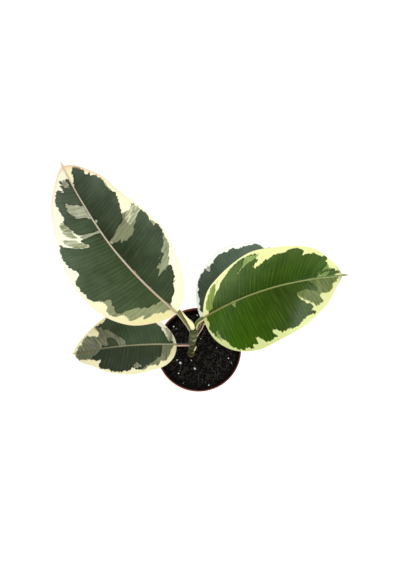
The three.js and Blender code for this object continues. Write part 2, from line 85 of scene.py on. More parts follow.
# %% Colour and node helpers
def linear(hex_colour):
    """A hex colour as linear red, green, blue and alpha 1: a channel c is c / 12.92 in the darkest
    part of the scale and ((c + 0.055) / 1.055) to the power 2.4 above it."""
    channels = np.array([int(hex_colour[i : i + 2], 16) for i in (1, 3, 5)]) / 255
    bright = ((channels + 0.055) / 1.055) ** 2.4
    return np.append(np.where(channels <= 0.04045, channels / 12.92, bright), 1.0)


def per_metre(size):
    """How many times a size in mm fits into a metre. Object coordinates are in metres, so this scale
    gives a pattern on them cells of that size."""
    return 1 / (size * MM)


def socket_of(sockets, key):
    """The socket in use with that name, or at that place among those in use."""
    used = [socket for socket in sockets if socket.enabled]
    if isinstance(key, int):
        return used[key]
    return next(socket for socket in used if socket.name == key)


def add(tree, kind, inputs=None, **settings):
    """Adds a node with its settings. An input is a number, a vector, a colour or another node's output.
    Returns the node's first output in use, ready to feed another node."""
    node = tree.nodes.new("ShaderNode" + kind)
    for key, value in settings.items():
        setattr(node, key, value)
    for key, value in (inputs or {}).items():
        socket = socket_of(node.inputs, key)
        if isinstance(value, bpy.types.NodeSocket):
            tree.links.new(value, socket)
        else:
            socket.default_value = value
    return socket_of(node.outputs, 0)


def material(name, sockets):
    """A material whose Principled shader gets what sockets(tree) returns: a number, colour or link for
    each of its sockets."""
    made = bpy.data.materials.new(name)
    made.use_nodes = True
    tree = made.node_tree
    shader = tree.nodes["Principled BSDF"]
    for key, value in sockets(tree).items():
        if isinstance(value, bpy.types.NodeSocket):
            tree.links.new(value, shader.inputs[key])
        else:
            shader.inputs[key].default_value = value
    return made


print("screen grey #808080 is", round(linear("#808080")[0], 3), "of white in linear light")

# %% [markdown]
# ## Light and floor
#
# Soft studio light comes from all round, brighter low down than overhead. A leathery leaf mirrors what
# is above it: where it faces the dim zenith its green looks deep, and where it curves away it catches
# the bright sides as a soft sheen. One broad lamp high on the right, cool as a window, leaves its sheen
# where a blade leans towards it.

# %% Light and floor
SKY_SIDES = 2.1
SKY_TOP = 0.2
SKY_FADES = (0.35, 0.75)  # sine of the height where the sky is still bright, and where it is dim
LAMP_POWER = 5.5
LAMP_SIDE = 0.4
LAMP_PLACE = (0.8, 0.1, 1.2)
LAMP_COLOUR = (0.88, 0.95, 1.0)
FLOOR_SIDE = 6.0
FLOOR_COLOUR = "#fafaf8"
FLOOR_GLOW = 0.45


def floor_finish(tree):
    """Matt white acrylic of a light table, lit a little from below, which softens every shadow on it."""
    white = linear(FLOOR_COLOUR)
    return {
        "Base Color": white, "Roughness": 0.9, "Specular IOR Level": 0.1,
        "Emission Color": white, "Emission Strength": FLOOR_GLOW,
    }


world = bpy.data.worlds.new("studio")
world.use_nodes = True
bpy.context.scene.world = world
sky = world.node_tree
height = add(sky, "SeparateXYZ", {0: add(sky, "TexCoord")}).node.outputs["Z"]
low, high = SKY_FADES
fade = {"Value": height, "From Min": low, "From Max": high, "To Min": SKY_SIDES, "To Max": SKY_TOP}
strength = add(sky, "MapRange", fade, interpolation_type="SMOOTHSTEP")
sky.links.new(strength, sky.nodes["Background"].inputs["Strength"])
sky.nodes["Background"].inputs["Color"].default_value = (1, 1, 1, 1)

lamp_data = bpy.data.lights.new("lamp", "AREA")
lamp_data.energy = LAMP_POWER
lamp_data.size = LAMP_SIDE
lamp_data.color = LAMP_COLOUR
lamp = bpy.data.objects.new("lamp", lamp_data)
bpy.context.collection.objects.link(lamp)
lamp.location = LAMP_PLACE
lamp.rotation_mode = "QUATERNION"
lamp.rotation_quaternion = lamp.location.to_track_quat("Z", "Y")

floor_mesh = bpy.data.meshes.new("floor")
corner = FLOOR_SIDE / 2
floor_corners = [(-corner, -corner, 0), (corner, -corner, 0), (corner, corner, 0), (-corner, corner, 0)]
floor_mesh.from_pydata(floor_corners, [], [(0, 1, 2, 3)])
floor_mesh.materials.append(material("light_table_acrylic", floor_finish))
floor = bpy.data.objects.new("floor", floor_mesh)
bpy.context.collection.objects.link(floor)
print("floor", FLOOR_SIDE, "m square")

# %% [markdown]
# ## From grids of points to closed pieces
#
# Every shape here is a surface over a grid: each row of the grid is a ring of points, and the rings
# follow one another along the piece. Leaf, stem, petiole, pot and grain differ only in the formula that
# places the points, so one function joins the rings to a closed shell and another puts shells into a
# mesh. Shells that grew as one piece, such as a leaf and its petiole, go into the same mesh.


# %% Shell and piece helpers
def shell(grid, material_index=0, **attributes):
    """A closed shell over a grid (rings, points in a ring, 3). Neighbouring rings are joined by quads and
    the end rings closed by fans round their mean points. The faces are turned round if the volume, a sixth
    of the sum of each triangle's triple product, is negative. Attributes are one value or colour a point."""
    rings, around, _ = grid.shape
    ring = np.arange(around)
    after = (ring + 1) % around
    first = np.arange(rings - 1)[:, None] * around
    quads = np.stack([first + ring, first + after, first + around + after, first + around + ring], -1)
    quads = quads.reshape(-1, 4)
    last = (rings - 1) * around
    foot, top = rings * around, rings * around + 1
    fans = np.concatenate(
        [
            np.stack([np.full(around, foot), after, ring], -1),
            np.stack([np.full(around, top), last + ring, last + after], -1),
        ]
    )

    def with_ends(values):
        return np.concatenate([values.reshape(rings * around, -1), values[[0, -1]].mean(1).reshape(2, -1)])

    points = with_ends(grid)
    a, b, c = points[np.concatenate([quads[:, :3], quads[:, [0, 2, 3]], fans])].transpose(1, 0, 2)
    if np.sum(a * np.cross(b, c)) < 0:
        quads = quads[:, ::-1]
        fans = fans[:, ::-1]
    named = {}
    for key, value in attributes.items():
        named[key] = with_ends(np.broadcast_to(value, grid.shape[:2] + np.shape(value)[2:]))
    return {"points": points, "quads": quads, "fans": fans, "material": material_index, "attributes": named}


def put_attribute(mesh, name, values):
    """Stores one number or one colour at each point of a mesh."""
    is_colour = values.shape[1] > 1
    kind = "FLOAT_COLOR" if is_colour else "FLOAT"
    attribute = mesh.attributes.new(name, kind, "POINT")
    attribute.data.foreach_set("color" if is_colour else "value", values.ravel())


def piece(name, shells, materials, replaced=()):
    """One object from several shells. Quads of all shells come first in the mesh, then the fans. It rides
    on the root body, takes its finish from a slot and stands for the replaced solid pieces."""
    starts = np.cumsum([0] + [len(made["points"]) for made in shells])
    points = np.concatenate([made["points"] for made in shells]) * MM
    quads = np.concatenate([made["quads"] + start for made, start in zip(shells, starts)])
    fans = np.concatenate([made["fans"] + start for made, start in zip(shells, starts)])
    corners = np.concatenate([quads.ravel(), fans.ravel()])
    sides = np.concatenate([np.full(len(quads), 4), np.full(len(fans), 3)])
    indices = [np.full(len(made[key]), made["material"]) for key in ("quads", "fans") for made in shells]
    mesh = bpy.data.meshes.new(name)
    mesh.vertices.add(len(points))
    mesh.vertices.foreach_set("co", points.ravel())
    mesh.loops.add(len(corners))
    mesh.loops.foreach_set("vertex_index", corners)
    mesh.polygons.add(len(sides))
    mesh.polygons.foreach_set("loop_start", np.cumsum(sides) - sides)
    mesh.polygons.foreach_set("material_index", np.concatenate(indices))
    mesh.polygons.foreach_set("use_smooth", np.ones(len(sides), bool))
    for key in sorted({key for made in shells for key in made["attributes"]}):
        width = max(made["attributes"][key].shape[1] for made in shells if key in made["attributes"])
        values = [made["attributes"].get(key, np.zeros((len(made["points"]), width))) for made in shells]
        put_attribute(mesh, key, np.concatenate(values))
    mesh.update(calc_edges=True)
    mesh.validate()
    for finish in materials:
        mesh.materials.append(finish)
    made = bpy.data.objects.new(name, mesh)
    bpy.context.collection.objects.link(made)
    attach(made, "root")
    if replaced:
        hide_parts(*replaced)
    print(name, len(quads) * 2 + len(fans), "triangles")
    return made


# %% [markdown]
# ## Curves and tubes
#
# Stem, petioles, buds and root fibres are tubes along a smooth line through a few points. The line is a
# cubic between each two points, with slopes that allow for their uneven distances, and its points are
# then spaced evenly. A tube's radius may change along it and around it, which gives ring scars, a
# channel or a seam without any further piece.


# %% Curve and tube helpers
CURVE_SAMPLES = 60  # places worked out on each stretch, before the points are spaced evenly


def smooth_line(points, steps):
    """Evenly spaced points on a centripetal cubic through the given points: each stretch has the length
    of its chord to the power one half as its time, and the ends are mirrored for the outer slopes."""
    given = np.array(points, float)
    padded = np.vstack([2 * given[0] - given[1], given, 2 * given[-1] - given[-2]])
    times = np.sqrt(np.linalg.norm(np.diff(padded, axis=0), axis=1))[:, None]
    rises = np.diff(padded, axis=0) / times
    spans = (padded[2:] - padded[:-2]) / (times[:-1] + times[1:])
    slopes = rises[:-1] - spans + rises[1:]
    s = np.linspace(0, 1, CURVE_SAMPLES)[:, None, None]
    start, end, time = given[:-1], given[1:], times[1:-1]
    line = (2 * s**3 - 3 * s**2 + 1) * start + (s**3 - 2 * s**2 + s) * time * slopes[:-1]
    line = line + (3 * s**2 - 2 * s**3) * end + (s**3 - s**2) * time * slopes[1:]
    line = line.transpose(1, 0, 2).reshape(-1, 3)
    lengths = np.append(0, np.cumsum(np.linalg.norm(np.diff(line, axis=0), axis=1)))
    wanted = np.linspace(0, lengths[-1], steps + 1)
    return np.stack([np.interp(wanted, lengths, line[:, k]) for k in range(3)], -1)


def unit(vectors):
    """Vectors divided by their own lengths."""
    return vectors / np.linalg.norm(vectors, axis=-1, keepdims=True)


def tube(line, radius, around, upward):
    """Rings along a line: each point is the line's point plus radius times a turned direction. The turn
    starts at 90 degrees from upward made square to the line, so a quarter turn on it points upward.
    The radius is a number, or an array (points, around)."""
    along = unit(np.gradient(line, axis=0))
    up = unit(upward - np.sum(along * upward, -1, keepdims=True) * along)
    side = np.cross(up, along)
    turn = 2 * np.pi * np.arange(around) / around
    out = np.cos(turn)[:, None] * side[:, None] + np.sin(turn)[:, None] * up[:, None]
    spread = np.broadcast_to(radius, (len(line), around))
    return line[:, None] + spread[..., None] * out


def bell(x, width):
    """A bell curve that is 1 at x = 0 and fades over the given width."""
    return np.exp(-((x / width) ** 2))


def mix(a, b, share):
    """A blend from a to b."""
    return a + (b - a) * share


def wrapped(angle):
    """An angle brought into the half turn on either side of zero."""
    return (angle + np.pi) % (2 * np.pi) - np.pi


print("a bell of width 1 has fallen to", bell(1, 1).round(2), "at 1 and to", bell(2, 1).round(2), "at 2")

# %% [markdown]
# ## The leaves as numbers
#
# Each leaf is one blade on a midrib. Its petiole leaves the stem at root and reaches the base of the
# blade past an elbow. The midrib starts at base, points along heading in the plan and pitch above the
# horizon, and bends and droops evenly towards the tip. Half widths are given at a few stations, so the
# outline can differ left and right, as it does on a real leaf. A side vein leaves the midrib at a station
# and sweeps towards the tip by a slant. These are the sizes of the solid leaves. They weren't all measured
# one by one: a least-squares fit to points picked along each leaf's outline and midrib gave the half
# widths and moved the length, heading, bend, roll, twist and fold, and its results are rounded to halves.

# %% Sizes of the leaves
STATIONS = [0, 0.06, 0.16, 0.3, 0.45, 0.6, 0.74, 0.86, 0.94, 1]
BACK_LEFT = dict(
    root=[-5.6, 1, 182.5], elbow=[-13.4, 10.2, 191], base=[-21.3, 18.7, 205],
    length=197, heading=151.5, bend=-37.5, pitch=46, droop=-34, roll=-6.5, twist=-2,
    left=[24, 43, 54, 55.5, 50, 39, 28, 15], right=[24.5, 37, 47, 50.5, 45.5, 37, 30, 19],
    fold=(-3.5, 4.5), cup=-8, drip=0.035, wave=1.1, wave_phase=0.4, slant=(0.36, 0.36), petiole=2.9,
)
RIGHT = dict(
    root=[-4.2, 2.6, 186.5], elbow=[-1.2, 8.8, 192], base=[4.6, 12.2, 205],
    length=169.5, heading=23.5, bend=-16, pitch=36, droop=-64, roll=-20, twist=32.5,
    left=[31, 39.5, 45.5, 48.5, 44.5, 39, 31, 17.5], right=[35, 51, 57.5, 54.5, 49, 39.5, 27.5, 13.5],
    fold=(-5, 5), cup=-8, drip=0.06, wave=0.9, wave_phase=2.1, slant=(0.8, 0.4), petiole=2.5,
)
LEFT_LOW = dict(
    root=[-7.8, -3.4, 134], elbow=[-17, -4.8, 139.5], base=[-25.3, -5.6, 146],
    length=119.5, heading=184, bend=10.5, pitch=30, droop=-20, roll=3.5, twist=0,
    left=[17.5, 25.5, 29.5, 32.5, 31, 26, 17.5, 12.5], right=[16.5, 27.5, 31.5, 34.5, 38.5, 30.5, 20, 11.5],
    fold=(8, 8), cup=-5, drip=0.03, wave=0.8, wave_phase=1.2, slant=(0.5, 0.5), petiole=1.9,
)
BACK_LOW = dict(
    root=[-7, -2, 152], elbow=[2.6, 10.9, 160], base=[5.7, 17.2, 168],
    length=134, heading=58.5, bend=-16, pitch=4, droop=-34, roll=0, twist=0,
    left=[13, 24, 33.5, 36.5, 37, 31, 24, 16], right=[14.5, 24.5, 33, 37.5, 36.5, 31.5, 24, 15.5],
    fold=(8, 8), cup=-5, drip=0.05, wave=0.8, wave_phase=3.3, slant=(0.5, 0.5), petiole=2,
)
DRIP_HALF_WIDTH = 1.6
DRIP_POWER = 0.9  # below 1, the drip tip keeps its width for longer
DRIP_BLEND = 1.6  # the drip tip starts under the blade's end, this many of its lengths from the point
TIP_HALF_WIDTH = 0.4
SLANT_POWER = 1.5  # above 1, the veins near the base slant less than those further on
VEIN_SWEEP = 1.15
WAVES = 2.5
MIDRIB_STEPS = 200
print("blades", ", ".join(str(leaf["length"]) for leaf in (BACK_LEFT, RIGHT, LEFT_LOW, BACK_LOW)), "mm long")

# %% [markdown]
# ## The surface of a blade
#
# A point of the blade has two numbers: t, the station where the side vein through it leaves the midrib,
# and v, its share of the way to the margin, positive on the left half and negative on the right. The
# surface folds up or down at the midrib, curls down towards the margin and waves along it.


# %% Blade surface
def smooth_through(x, y, at):
    """A cubic through the points (x, y), with each slope weighed from its two neighbouring rises."""
    gaps = np.diff(x)
    rises = np.diff(y) / gaps
    inner = (rises[:-1] * gaps[1:] + rises[1:] * gaps[:-1]) / (gaps[:-1] + gaps[1:])
    slopes = np.concatenate([rises[:1], inner, rises[-1:]])
    i = np.clip(np.searchsorted(x, at, side="right") - 1, 0, len(gaps) - 1)
    s = (at - x[i]) / gaps[i]
    near = (2 * s**3 - 3 * s**2 + 1) * y[i] + (s**3 - 2 * s**2 + s) * gaps[i] * slopes[i]
    return near + (3 * s**2 - 2 * s**3) * y[i + 1] + (s**3 - s**2) * gaps[i] * slopes[i + 1]


def half_width(leaf, side, t):
    """Half width at station t. The cubic runs over the angle whose cosine falls from 1 at the base to -1
    at the end of the blade, which rounds the base, and past that end only the narrow drip tip is left."""
    angles = np.arccos(1 - 2 * np.array(STATIONS))
    widths = np.array([0, *leaf[side], 0], float)
    wide = smooth_through(angles, widths, np.arccos(np.clip(1 - 2 * t / (1 - leaf["drip"]), -1, 1)))
    tip = DRIP_HALF_WIDTH * np.clip((1 - t) / leaf["drip"], 0, 1) ** DRIP_POWER
    in_tip = t > 1 - DRIP_BLEND * leaf["drip"]
    return np.maximum(np.maximum(wide, TIP_HALF_WIDTH), np.where(in_tip, tip, 0))


def margin_at(leaf, t, v):
    """Where the side vein from station t ends: how far it slants towards the tip, and the half width
    there, each on the side that v's sign names."""
    slant = np.where(v > 0, *leaf["slant"]) * np.clip(t, 0, 1) ** SLANT_POWER * (1 - t)
    margin = np.where(v > 0, half_width(leaf, "left", t + slant), half_width(leaf, "right", t + slant))
    return slant, margin


def midrib(leaf):
    """Place, along, across and up at even stations. Heading and pitch change evenly with the station, and
    each place is the last one plus the mean direction times the step."""
    t = np.linspace(0, 1, MIDRIB_STEPS + 1)[:, None]
    heading = np.radians(leaf["heading"] + leaf["bend"] * t)
    pitch = np.radians(leaf["pitch"] + leaf["droop"] * t)
    along = np.hstack([np.cos(pitch) * np.cos(heading), np.cos(pitch) * np.sin(heading), np.sin(pitch)])
    steps = (along[1:] + along[:-1]) / 2 * leaf["length"] / MIDRIB_STEPS
    place = np.array(leaf["base"]) + np.vstack([np.zeros(3), np.cumsum(steps, 0)])
    level = np.hstack([-np.sin(heading), np.cos(heading), np.zeros_like(heading)])
    roll = np.radians(leaf["roll"] + leaf["twist"] * t)
    across = level * np.cos(roll) + np.cross(along, level) * np.sin(roll)
    return place, along, across, np.cross(along, across)


def at_station(values, t):
    """Rows of values at any stations, each number blended between the two nearest rows."""
    stations = np.linspace(0, 1, len(values))
    return np.stack([np.interp(t, stations, values[:, k]) for k in range(values.shape[1])], -1)


def blade_point(leaf, t, v):
    """The blade's upper face at (t, v), its upward way, its distance out from the midrib and the station
    reached. Out is |v| times the margin's half width. The height above the midrib is out times the sine of
    the fold, plus the cup times v squared, plus the wave times |v| cubed. Cup and wave are smaller where
    the blade is narrower."""
    place, _, across, up = midrib(leaf)
    share = np.abs(v)
    slant, margin = margin_at(leaf, t, v)
    out = share * margin
    fold = np.radians(np.where(v > 0, *leaf["fold"]))
    breadth = margin / max(leaf["left"] + leaf["right"])
    swing = np.sin(2 * np.pi * WAVES * t + leaf["wave_phase"] + v)
    lift = out * np.sin(fold) + (leaf["cup"] * share**2 + leaf["wave"] * share**3 * swing) * breadth
    station = t + slant * share**VEIN_SWEEP
    sideways = (np.sign(v) * out * np.cos(fold))[..., None] * at_station(across, station)
    upward = at_station(up, station)
    return at_station(place, station) + sideways + lift[..., None] * upward, upward, out, margin, station


print("the back left leaf's tip is at", midrib(BACK_LEFT)[0][-1].round(1), "mm")

# %% [markdown]
# ## Painting the variegation
#
# A variegated leaf is three layers of tissue: dark green where all of it has chlorophyll, grey-green
# where only the inner layers have, and cream where none has. The edges between them were read off
# flattened views of the real leaves, as outlines on the unrolled blade. Each point of the mesh then stores
# how far inside each outline it lies, in millimetres, and the shader cuts the edges sharp and jagged from
# that. An image could do the same, but it would blur close up, while a distance stays crisp at any size.


# %% Distance to an outline
TINY = 1e-9  # keeps a division by a side's length or height from dividing by zero


def unrolled(leaf, t, v):
    """The blade laid flat, in millimetres: along the midrib to the station reached, and out from it."""
    slant, margin = margin_at(leaf, t, v)
    return np.stack([(t + slant * np.abs(v) ** VEIN_SWEEP) * leaf["length"], v * margin], -1)


def depth_inside(points, outline):
    """Distance from flat points to a closed outline, positive inside. The distance is the least one to any
    of its sides, and a point is inside when a line from it crosses the sides an odd number of times."""
    nearest = np.full(len(points), np.inf)
    inside = np.zeros(len(points), bool)
    for start, end in zip(outline, np.roll(outline, -1, 0)):
        side = end - start
        way = points - start
        share = np.clip(way @ side / max(side @ side, TINY), 0, 1)
        nearest = np.minimum(nearest, np.linalg.norm(way - share[:, None] * side, axis=1))
        crosses = (start[1] > points[:, 1]) != (end[1] > points[:, 1])
        height_share = way[:, 1] / np.where(abs(side[1]) < TINY, TINY, side[1])
        inside ^= crosses & (way[:, 0] < height_share * side[0])
    return np.where(inside, nearest, -nearest)


square = np.array([(0, 0), (2, 0), (2, 2), (0, 2)], float)
print("the middle of a square 2 mm wide lies", depth_inside(np.array([[1.0, 1.0]]), square)[0], "mm inside")

# %% [markdown]
# ### The outlines
#
# Each point is (t, v) in the blade's own numbers. Green outlines are joined to one green area. A patch
# is grey-green or pale tissue of one colour: most patches lie under the green and show beside it, and
# those marked True show through it. The number is how much of it is flecked with cream. Cream is what no
# outline covers.

# %% Outlines of the back left leaf
BACK_LEFT["green"] = [
    [
        (0.118, -0.02), (0.118, 0.07), (0.128, 0.15), (0.131, 0.23), (0.142, 0.31), (0.145, 0.4),
        (0.16, 0.42), (0.172, 0.48), (0.185, 0.52), (0.192, 0.6), (0.199, 0.66), (0.204, 0.75),
        (0.207, 0.79), (0.225, 0.8), (0.245, 0.77), (0.265, 0.72), (0.29, 0.67), (0.297, 0.7),
        (0.302, 0.76), (0.304, 0.81), (0.31, 0.85), (0.32, 0.9), (0.35, 0.935), (0.37, 0.925),
        (0.385, 0.945), (0.41, 0.935), (0.42, 0.955), (0.435, 0.95), (0.432, 0.89), (0.44, 0.86),
        (0.45, 0.81), (0.465, 0.81), (0.48, 0.87), (0.5, 0.91), (0.53, 0.955), (0.55, 0.965), (0.57, 0.965),
        (0.59, 0.955), (0.597, 0.93), (0.585, 0.87), (0.578, 0.8), (0.572, 0.7), (0.565, 0.62),
        (0.555, 0.52), (0.55, 0.42), (0.553, 0.38), (0.565, 0.38), (0.57, 0.42), (0.588, 0.475),
        (0.598, 0.4), (0.6, 0.25), (0.6, 0.09), (0.608, 0.09), (0.611, 0.2), (0.612, 0.35), (0.618, 0.46),
        (0.634, 0.56), (0.645, 0.6), (0.67, 0.665), (0.69, 0.715), (0.7, 0.71), (0.705, 0.69),
        (0.715, 0.67), (0.722, 0.7), (0.75, 0.75), (0.76, 0.78), (0.767, 0.84), (0.78, 0.85), (0.79, 0.84),
        (0.8, 0.86), (0.81, 0.83), (0.83, 0.87), (0.842, 0.8), (0.845, 0.74), (0.838, 0.62), (0.833, 0.5),
        (0.847, 0.57), (0.862, 0.66), (0.872, 0.65), (0.882, 0.77), (0.888, 0.74), (0.89, 0.65),
        (0.882, 0.58), (0.865, 0.55), (0.858, 0.4), (0.857, 0.2), (0.87, 0.2), (0.89, 0.28), (0.896, 0.22),
        (0.897, 0.12), (0.893, -0.02),
    ],
    [
        (0.065, 0.02), (0.065, -0.03), (0.072, -0.15), (0.085, -0.3), (0.09, -0.38), (0.1, -0.44),
        (0.115, -0.5), (0.128, -0.51), (0.13, -0.6), (0.14, -0.67), (0.165, -0.7), (0.18, -0.72),
        (0.2, -0.72), (0.208, -0.68), (0.213, -0.6), (0.216, -0.45), (0.222, -0.31), (0.24, -0.42),
        (0.252, -0.4), (0.262, -0.42), (0.26, -0.6), (0.27, -0.71), (0.285, -0.68), (0.297, -0.71),
        (0.302, -0.8), (0.31, -0.85), (0.33, -0.9), (0.34, -0.95), (0.36, -0.97), (0.4, -0.98),
        (0.41, -0.95), (0.405, -0.88), (0.44, -0.91), (0.455, -0.93), (0.46, -0.96), (0.5, -0.97),
        (0.515, -0.96), (0.513, -0.87), (0.505, -0.76), (0.498, -0.68), (0.49, -0.6), (0.475, -0.56),
        (0.471, -0.45), (0.474, -0.3), (0.485, -0.27), (0.487, -0.19), (0.5, -0.2), (0.513, -0.12),
        (0.52, -0.03), (0.538, -0.03), (0.541, -0.17), (0.547, -0.25), (0.548, -0.4), (0.556, -0.55),
        (0.57, -0.62), (0.585, -0.66), (0.6, -0.7), (0.61, -0.76), (0.63, -0.81), (0.645, -0.85),
        (0.655, -0.89), (0.67, -0.9), (0.68, -0.86), (0.69, -0.88), (0.7, -0.84), (0.73, -0.85),
        (0.745, -0.89), (0.757, -0.93), (0.8, -0.92), (0.815, -0.9), (0.828, -0.85), (0.842, -0.87),
        (0.84, -0.8), (0.85, -0.76), (0.86, -0.8), (0.87, -0.87), (0.9, -0.94), (0.915, -0.92),
        (0.92, -0.85), (0.917, -0.72), (0.912, -0.55), (0.905, -0.4), (0.893, -0.28), (0.88, -0.2),
        (0.865, -0.1), (0.85, -0.06), (0.85, 0.02),
    ],
]
BACK_LEFT["patches"] = [
    ("#7d855b", 0.1, False, [
        (0.118, -0.02), (0.05, 0), (0.045, 0.2), (0.055, 0.3), (0.062, 0.45), (0.072, 0.42), (0.08, 0.4),
        (0.09, 0.5), (0.1, 0.5), (0.1, 0.62), (0.105, 0.68), (0.12, 0.74), (0.127, 0.62), (0.133, 0.66),
        (0.137, 0.8), (0.15, 0.86), (0.158, 0.87), (0.165, 0.83), (0.18, 0.81), (0.195, 0.8), (0.202, 0.84),
        (0.206, 0.9), (0.22, 0.91), (0.25, 0.91), (0.26, 0.86), (0.27, 0.8), (0.3, 0.8), (0.32, 0.7),
        (0.24, 0.5),
    ]),
    ("#7c8361", 0.15, False, [
        (0.2, -0.4), (0.222, -0.3), (0.28, -0.4), (0.35, -0.8), (0.335, -0.94), (0.28, -0.93),
        (0.265, -0.88), (0.25, -0.86), (0.24, -0.78), (0.222, -0.72), (0.19, -0.6),
    ]),
    ("#7c8361", 0.4, False, [
        (0.4, -0.8), (0.45, -0.8), (0.44, -0.92), (0.435, -0.95), (0.41, -0.95), (0.4, -0.86),
    ]),
    ("#777c5c", 0.04, False, [
        (0.46, -0.1), (0.55, -0.02), (0.58, -0.5), (0.568, -0.73), (0.49, -0.7), (0.46, -0.5),
    ]),
    ("#8b8f6e", 0.6, False, [
        (0.465, -0.45), (0.58, -0.45), (0.568, -0.73), (0.555, -0.82), (0.575, -0.95), (0.52, -0.98),
        (0.51, -0.93), (0.49, -0.7),
    ]),
    ("#8d926c", 0.4, False, [(0.695, -0.8), (0.73, -0.8), (0.745, -0.88), (0.71, -0.89), (0.69, -0.88)]),
    ("#8c946a", 0.45, False, [
        (0.54, 0.36), (0.57, 0.4), (0.6, 0.6), (0.612, 0.86), (0.59, 0.82), (0.57, 0.66),
    ]),
    ("#8c946a", 0.55, False, [
        (0.6, 0.5), (0.62, 0.55), (0.66, 0.64), (0.695, 0.7), (0.685, 0.8), (0.68, 0.84), (0.64, 0.8),
        (0.62, 0.72),
    ]),
    ("#a1a586", 0.0, True, [(0.638, -0.01), (0.655, -0.07), (0.662, -0.06), (0.655, -0.01)]),
    ("#a1a586", 0.05, True, [(0.599, 0.03), (0.609, 0.03), (0.613, 0.3), (0.612, 0.5), (0.598, 0.42)]),
    ("#a1a586", 0.1, True, [
        (0.68, 0.02), (0.69, 0.13), (0.695, 0.25), (0.7, 0.35), (0.712, 0.4), (0.727, 0.5), (0.74, 0.52),
        (0.75, 0.5), (0.762, 0.56), (0.775, 0.5), (0.765, 0.35), (0.758, 0.2), (0.75, 0.1), (0.747, 0.02),
    ]),
    ("#85896a", 0.15, False, [
        (0.858, 0.22), (0.86, 0.5), (0.875, 0.58), (0.885, 0.55), (0.893, 0.45), (0.895, 0.35),
        (0.885, 0.26),
    ]),
]
print("back left leaf:", len(BACK_LEFT["green"]), "green outlines,", len(BACK_LEFT["patches"]), "patches")

# %% Outlines of the right leaf
RIGHT["green"] = [
    [
        (0.05, -0.02), (0.05, 0.08), (0.08, 0.08), (0.085, 0.25), (0.093, 0.38), (0.105, 0.46),
        (0.12, 0.55), (0.135, 0.64), (0.15, 0.72), (0.175, 0.8), (0.2, 0.87), (0.225, 0.91), (0.25, 0.95),
        (0.28, 0.945), (0.31, 0.93), (0.33, 0.935), (0.335, 0.91), (0.35, 0.91), (0.37, 0.9), (0.365, 0.86),
        (0.355, 0.8), (0.37, 0.75), (0.36, 0.68), (0.345, 0.62), (0.345, 0.59), (0.36, 0.56), (0.375, 0.6),
        (0.395, 0.64), (0.405, 0.7), (0.425, 0.7), (0.43, 0.74), (0.44, 0.79), (0.46, 0.81), (0.5, 0.81),
        (0.51, 0.84), (0.52, 0.89), (0.54, 0.93), (0.56, 0.94), (0.58, 0.92), (0.6, 0.9), (0.608, 0.85),
        (0.6, 0.78), (0.605, 0.73), (0.615, 0.76), (0.63, 0.8), (0.65, 0.81), (0.66, 0.86), (0.67, 0.88),
        (0.68, 0.85), (0.7, 0.88), (0.715, 0.88), (0.72, 0.95), (0.735, 0.98), (0.745, 0.92), (0.74, 0.82),
        (0.755, 0.8), (0.765, 0.75), (0.768, 0.68), (0.76, 0.5), (0.755, 0.2), (0.752, -0.02),
    ],
    [
        (0.77, 0.15), (0.765, 0.3), (0.78, 0.45), (0.785, 0.58), (0.795, 0.59), (0.8, 0.5), (0.795, 0.35),
        (0.78, 0.22),
    ],
    [
        (0.82, 0), (0.82, 0.25), (0.805, 0.5), (0.8, 0.7), (0.81, 0.76), (0.825, 0.68), (0.83, 0.85),
        (0.838, 0.9), (0.84, 0.6), (0.85, 0.4), (0.87, 0.2), (0.885, 0.05), (0.885, 0),
    ],
    [
        (0.05, 0.02), (0.03, -0.05), (0.03, -0.2), (0.03, -0.5), (0.025, -0.65), (0.03, -0.75),
        (0.05, -0.84), (0.08, -0.75), (0.085, -0.82), (0.1, -0.8), (0.105, -0.84), (0.12, -0.92),
        (0.14, -0.97), (0.175, -0.97), (0.18, -0.93), (0.2, -0.93), (0.205, -0.96), (0.218, -0.95),
        (0.22, -0.89), (0.25, -0.9), (0.25, -0.78), (0.265, -0.8), (0.275, -0.87), (0.285, -0.91),
        (0.31, -0.94), (0.355, -0.92), (0.35, -0.86), (0.342, -0.79), (0.37, -0.81), (0.38, -0.87),
        (0.395, -0.9), (0.44, -0.9), (0.46, -0.93), (0.49, -0.93), (0.51, -0.9), (0.53, -0.89),
        (0.57, -0.87), (0.6, -0.9), (0.62, -0.94), (0.635, -0.92), (0.625, -0.86), (0.61, -0.82),
        (0.62, -0.79), (0.635, -0.8), (0.635, -0.73), (0.62, -0.65), (0.605, -0.62), (0.6, -0.55),
        (0.585, -0.48), (0.575, -0.38), (0.575, -0.3), (0.6, -0.29), (0.62, -0.31), (0.635, -0.29),
        (0.655, -0.31), (0.67, -0.37), (0.69, -0.42), (0.7, -0.47), (0.715, -0.47), (0.722, -0.38),
        (0.712, -0.28), (0.7, -0.2), (0.695, -0.08), (0.695, 0.02),
    ],
]
